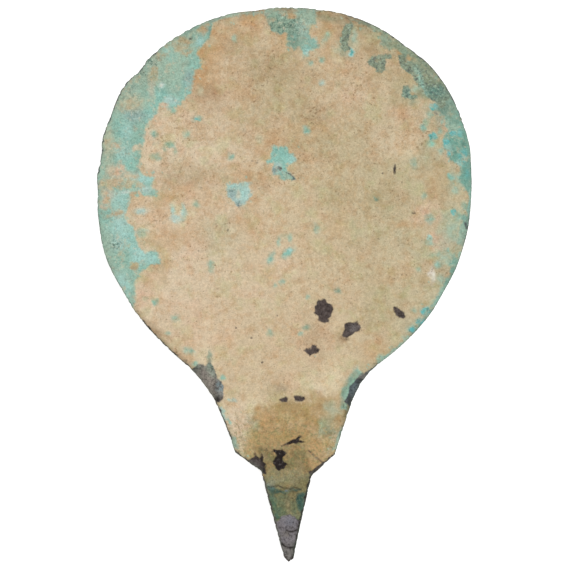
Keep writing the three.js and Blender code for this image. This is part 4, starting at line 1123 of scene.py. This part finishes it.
class Patina(Paint):
    """The finish of the mirror, with its colours, its grains and what the mesh keeps for each vertex."""

    def __init__(self, colours):
        super().__init__(FINISH)
        self.colours, self.made = colours, {}
        place = self.node("ShaderNodeTexCoord").outputs["Object"]
        self.place = self.node("ShaderNodeVectorMath", {"operation": "SCALE"}, {0: place, "Scale": 1 / MM})

    def solid(self, name):
        return (*getattr(self.colours, name), 1.0)

    def attribute(self, name, output="Fac"):
        made = self.node("ShaderNodeAttribute", {"attribute_name": name})
        return Value(self, made.outputs[output])

    def grain(self, name):
        """The noise of that name, from about 0.2 to 0.8. It is made once and then shared."""
        if name not in self.made:
            size, seed, detail, roughness = GRAINS[name]
            moved = self.node("ShaderNodeVectorMath", {"operation": "MULTIPLY_ADD"}, {
                0: self.place, 1: (1 / size,) * 3, 2: [seed * step for step in GRAIN_STEPS]})
            made = self.node("ShaderNodeTexNoise", None, {
                "Vector": moved, "Scale": 1.0, "Detail": detail, "Roughness": roughness})
            self.made[name] = Value(self, made.outputs["Fac"])
        return self.made[name]

    def swing(self, name, strength):
        """A grain that darkens as much as it lightens."""
        return (self.grain(name) - 0.5) * strength

    def rise(self, value, low, high):
        """0 below low, 1 above high, smooth between."""
        made = self.node("ShaderNodeMapRange", {"interpolation_type": "SMOOTHSTEP"},
                         {"Value": value, "From Min": low, "From Max": high})
        return Value(self, made.outputs["Result"])

    def patches(self, name, low, high):
        return self.rise(self.grain(name), low, high)

    def mix(self, share, first, second, blend="MIX"):
        made = self.node("ShaderNodeMix", {"data_type": "RGBA", "blend_type": blend},
                         {0: share, 6: first, 7: second})
        return Value(self, made.outputs[2])

    def flecked(self, colour, share, name):
        return self.mix(share, colour, self.solid(name))

    def filmed(self, colour, share, name):
        return self.mix(share, colour, self.solid(name), "MULTIPLY")

    def scaled(self, colour, factor):
        made = self.node("ShaderNodeVectorMath", {"operation": "SCALE"}, {0: colour, "Scale": factor})
        return Value(self, made.outputs[0])

    def cover(self, layer, ragged, softness):
        """How fully a layer covers what is under it, with a ragged outline."""
        depth = self.attribute(layer + "_depth") + self.swing("ragged", 2.6) * ragged
        return self.rise(depth, -softness, softness)


def soil_coat(paint):
    """Pinkish and greenish clouds, rusty mottles, brown specks, the neck's grime and a dusty grain."""
    stain, grime, tang = (paint.attribute(name) for name in ("stain", "grime", "tang"))
    soil = paint.attribute("soil_tint", "Vector")
    soil = paint.filmed(soil, paint.patches("broad", 0.48, 0.7) * 0.8, "pink_filter")
    soil = paint.filmed(soil, paint.patches("green_film", 0.5, 0.7) * 0.7, "green_filter")
    rust = paint.rise(paint.grain("rust") + stain * 0.14, 0.48, 0.78)
    soil = paint.filmed(soil, rust * 0.55, "rust_filter")
    soil = paint.filmed(soil, paint.patches("dull", 0.5, 0.72) * 0.45, "olive_filter")
    near_rim = 1 - paint.rise(paint.attribute("rim_distance"), 1.0, 5.0)
    speck_noise = paint.grain("specks")
    specks = speck_noise + stain * 0.10 + paint.swing("broad", 0.3) + near_rim * 0.06
    specks = paint.rise(specks, 0.68, 0.80)
    soil = paint.filmed(soil, specks * 0.6, "brown_filter")
    soil = paint.flecked(soil, paint.patches("dots", 0.71, 0.78) * 0.5, "umber")
    moss = grime * (1 - tang * 0.5) * 0.6 * paint.patches("moss", 0.5, 0.64)
    gold = grime * (1 - tang * 0.85) * 0.6 * paint.patches("gold", 0.54, 0.68)
    soil = paint.flecked(paint.flecked(soil, moss, "moss_grain"), gold, "gold_grain")
    soil = paint.flecked(soil, paint.rise(0.5 - speck_noise, 0.10, 0.24) * (0.4 - grime * 0.34), "cream")
    coarse = (paint.grain("small") + paint.grain("fine") - 1) * (tang * 0.3 + grime * 0.3)
    dust = paint.swing("middling", 0.18) + paint.swing("small", 0.44) + 1.008
    dust = dust + paint.swing("fine", stain * 0.3 + 0.56) + coarse
    return paint.scaled(soil, dust), specks


def verdigris_coat(paint):
    """Sage to aqua, with soil flecks and dark pits."""
    crust = paint.attribute("crust_tint", "Vector")
    crust = paint.flecked(crust, paint.patches("middling", 0.48, 0.68) * 0.16, "aqua")
    crust = paint.flecked(crust, paint.patches("sage", 0.46, 0.66) * 0.3, "sage")
    crust = paint.flecked(crust, paint.patches("pale", 0.56, 0.72) * 0.4, "soil_light")
    pits = paint.rise(paint.grain("pits") + paint.swing("broad", 0.3), 0.53, 0.66)
    pitting = paint.attribute("pits")
    crust = paint.flecked(crust, pits * pitting * 0.58, "dark_teal")
    rough = paint.swing("small", 0.52) + paint.swing("fine", 0.98)
    return paint.scaled(crust, rough * (pitting * 0.9 + 0.55) + 0.98), pits


def eaten_coat(paint):
    """Dark green with pale and black grit."""
    pitted = paint.attribute("pitted_tint", "Vector")
    pitted = paint.flecked(pitted, paint.patches("grit", 0.48, 0.62) * 0.5, "sage")
    pitted = paint.flecked(pitted, paint.patches("pits", 0.5, 0.64) * 0.62, "slate")
    return paint.scaled(pitted, paint.swing("small", 1.1) + paint.swing("fine", 1.2) + 1)


def bare_coat(paint):
    """Brown-violet tarnish with a grey bloom."""
    bare = paint.attribute("bare_tint", "Vector")
    bare = paint.flecked(bare, paint.patches("small", 0.5, 0.7) * 0.3, "violet")
    bare = paint.flecked(bare, paint.patches("pits", 0.5, 0.62) * 0.5, "black")
    grain = paint.swing("middling", 1.2) + paint.swing("small", 1.1) + paint.swing("fine", 1.4)
    return paint.scaled(bare, grain + 1.13)


def edged(paint, colour):
    """Soiling and painted shade on the bevel, a thin dark line of painted shade from above, and dark
    grey-green down the side.
    """
    rim = paint.attribute("rim_distance")
    small = paint.grain("small")
    # A band of soiling and painted shade along the bevel.
    dirt = (1 - paint.rise(rim, 0.5, 2.4)) * paint.rise(paint.grain("broad") + small * 0.5, 0.55, 0.95)
    colour = paint.flecked(colour, dirt * paint.attribute("dirt") * 0.32, "rim_dark")
    # A thin dark line of painted shade along the outline, where the rounded edge turns into shade.
    edge = 1 - paint.rise(rim + paint.swing("small", 0.8), 0.1, 0.55)
    side = 1 - paint.rise(rim, -0.5, -0.1)
    dark = paint.mix(paint.patches("middling", 0.45, 0.65), paint.solid("rim_dark"), paint.solid("umber"))
    return paint.mix(edge * 0.64 + side * 0.1, colour, paint.scaled(dark, paint.swing("fine", 0.6) + 1))


def patina_material(colours):
    """Soil crust, verdigris, eaten green places and bare bronze, each with grain of its own."""
    paint = Patina(colours)
    soil, specks = soil_coat(paint)
    crust, pits = verdigris_coat(paint)
    veil = paint.rise(paint.attribute("veil") + paint.swing("veil", 1.6), 0.15, 0.95)
    crust_cover = paint.cover("crust", 1.0, 0.75) * (1 - veil * 0.82)
    pitted_cover = paint.cover("pitted", 1.0, 0.5) * (1 - veil * 0.6)
    bare_cover = paint.cover("bare", 0.5, 0.36)
    colour = paint.mix(crust_cover, soil, crust)
    colour = paint.mix(pitted_cover, colour, eaten_coat(paint))
    colour = paint.mix(bare_cover, colour, bare_coat(paint))
    colour = edged(paint, colour)

    small = paint.grain("small")
    height = (small * 0.5 + paint.grain("fine") * 0.35) * (1 - bare_cover * 0.6)
    height = height + paint.grain("grit") * pitted_cover * 0.6
    height = height + crust_cover * 0.35 - bare_cover * 0.5 - specks * 0.4 - pits * crust_cover * 0.5
    bump = paint.node("ShaderNodeBump", None, {"Strength": 0.55, "Distance": BUMP_HEIGHT, "Height": height})
    roughness = 0.93 - crust_cover * 0.08 - bare_cover * 0.38 + paint.swing("small", 0.25)
    return paint.surface({"Base Color": colour, "Roughness": roughness, "Metallic": bare_cover * 0.3,
                          "Normal": bump, "Specular IOR Level": 0.2})


# ---------------------------------------------------------------- the stage

FLOOR_SIZE = 40.0             # in metres
FLOOR_DROP = 0.02 * MM        # how far the floor lies under the mirror, so that they don't touch
SUN_FROM = Vector((0.55, 0.75, 1.0))
SUN_SPREAD = math.radians(25)
SENSOR_WIDTH = 36.0           # in millimetres, as the lens
VIEW_MIDDLE = (0.3 * MM, -0.1 * MM, 2.6 * MM)    # under the camera, where the view's width is measured


class MIRROR_OT_studio(bpy.types.Operator):
    """Lay a pale floor under the mirror, light it softly and look down on it"""
    bl_idname = "mirror.studio"
    bl_label = "Floor, Lights and Camera"

    def execute(self, context):
        studio = context.scene.mirror_studio
        self.floor(studio)
        self.lights(context.scene, studio)
        self.camera(context.scene, studio)
        context.scene.view_settings.view_transform = "Standard"
        return {"FINISHED"}

    def floor(self, studio):
        bpy.ops.object.select_all(action="DESELECT")
        bpy.ops.mesh.primitive_plane_add(size=FLOOR_SIZE, location=(0, 0, -FLOOR_DROP))
        floor = bpy.context.object
        floor.name = "studio_floor"
        white = (*studio.floor, 1.0)
        floor.data.materials.append(Paint("studio_floor").surface({
            "Base Color": white, "Roughness": 0.9, "Specular IOR Level": 0.1, "Emission Color": white,
            "Emission Strength": studio.glow}))

    def lights(self, scene, studio):
        world = bpy.data.worlds.new("studio_surroundings")
        world.use_nodes = True
        background = world.node_tree.nodes["Background"]
        background.inputs["Color"].default_value = (1.0, 1.0, 1.0, 1.0)
        background.inputs["Strength"].default_value = studio.ambient
        scene.world = world
        sun = bpy.data.objects.new("key_light", bpy.data.lights.new("key_light", "SUN"))
        sun.data.energy = studio.key
        sun.data.angle = SUN_SPREAD
        scene.collection.objects.link(sun)
        sun.rotation_euler = SUN_FROM.to_track_quat("Z", "Y").to_euler()

    def camera(self, scene, studio):
        camera = bpy.data.objects.new("camera", bpy.data.cameras.new("camera"))
        scene.collection.objects.link(camera)
        camera.data.sensor_width = SENSOR_WIDTH
        camera.data.lens = studio.lens
        distance = studio.view_width * studio.lens / SENSOR_WIDTH
        x, y, z = VIEW_MIDDLE
        camera.location = (x, y, z + distance)
        scene.camera = camera


class MIRROR_PT_panel(bpy.types.Panel):
    """Lists the sizes and colours of the mirror and the steps that make it"""
    bl_idname = "MIRROR_PT_panel"
    bl_label = "Etruscan Hand Mirror"
    bl_space_type = "VIEW_3D"
    bl_region_type = "UI"
    bl_category = "Mirror"

    def draw(self, context):
        for group_name in GROUPS:
            group = getattr(context.scene, group_name)
            box = self.layout.box()
            for name in group.bl_rna.properties.keys():
                if name not in {"rna_type", "name"}:
                    box.prop(group, name)
        for step in OPERATORS:
            self.layout.operator(step.bl_idname)


GROUPS = {"mirror_sizes": MirrorSizes, "mirror_colours": MirrorColours, "mirror_studio": MirrorStudio}
OPERATORS = (MIRROR_OT_casting, MIRROR_OT_studio)
CLASSES = (*GROUPS.values(), *OPERATORS, MIRROR_PT_panel)


def register():
    for cls in CLASSES:
        bpy.utils.register_class(cls)
    for name, group in GROUPS.items():
        setattr(bpy.types.Scene, name, PointerProperty(type=group))


def unregister():
    for name in GROUPS:
        delattr(bpy.types.Scene, name)
    for cls in reversed(CLASSES):
        bpy.utils.unregister_class(cls)


def main():
    register()
    bpy.ops.mirror.casting()
    bpy.ops.mirror.studio()


if __name__ == "__main__":
    main()
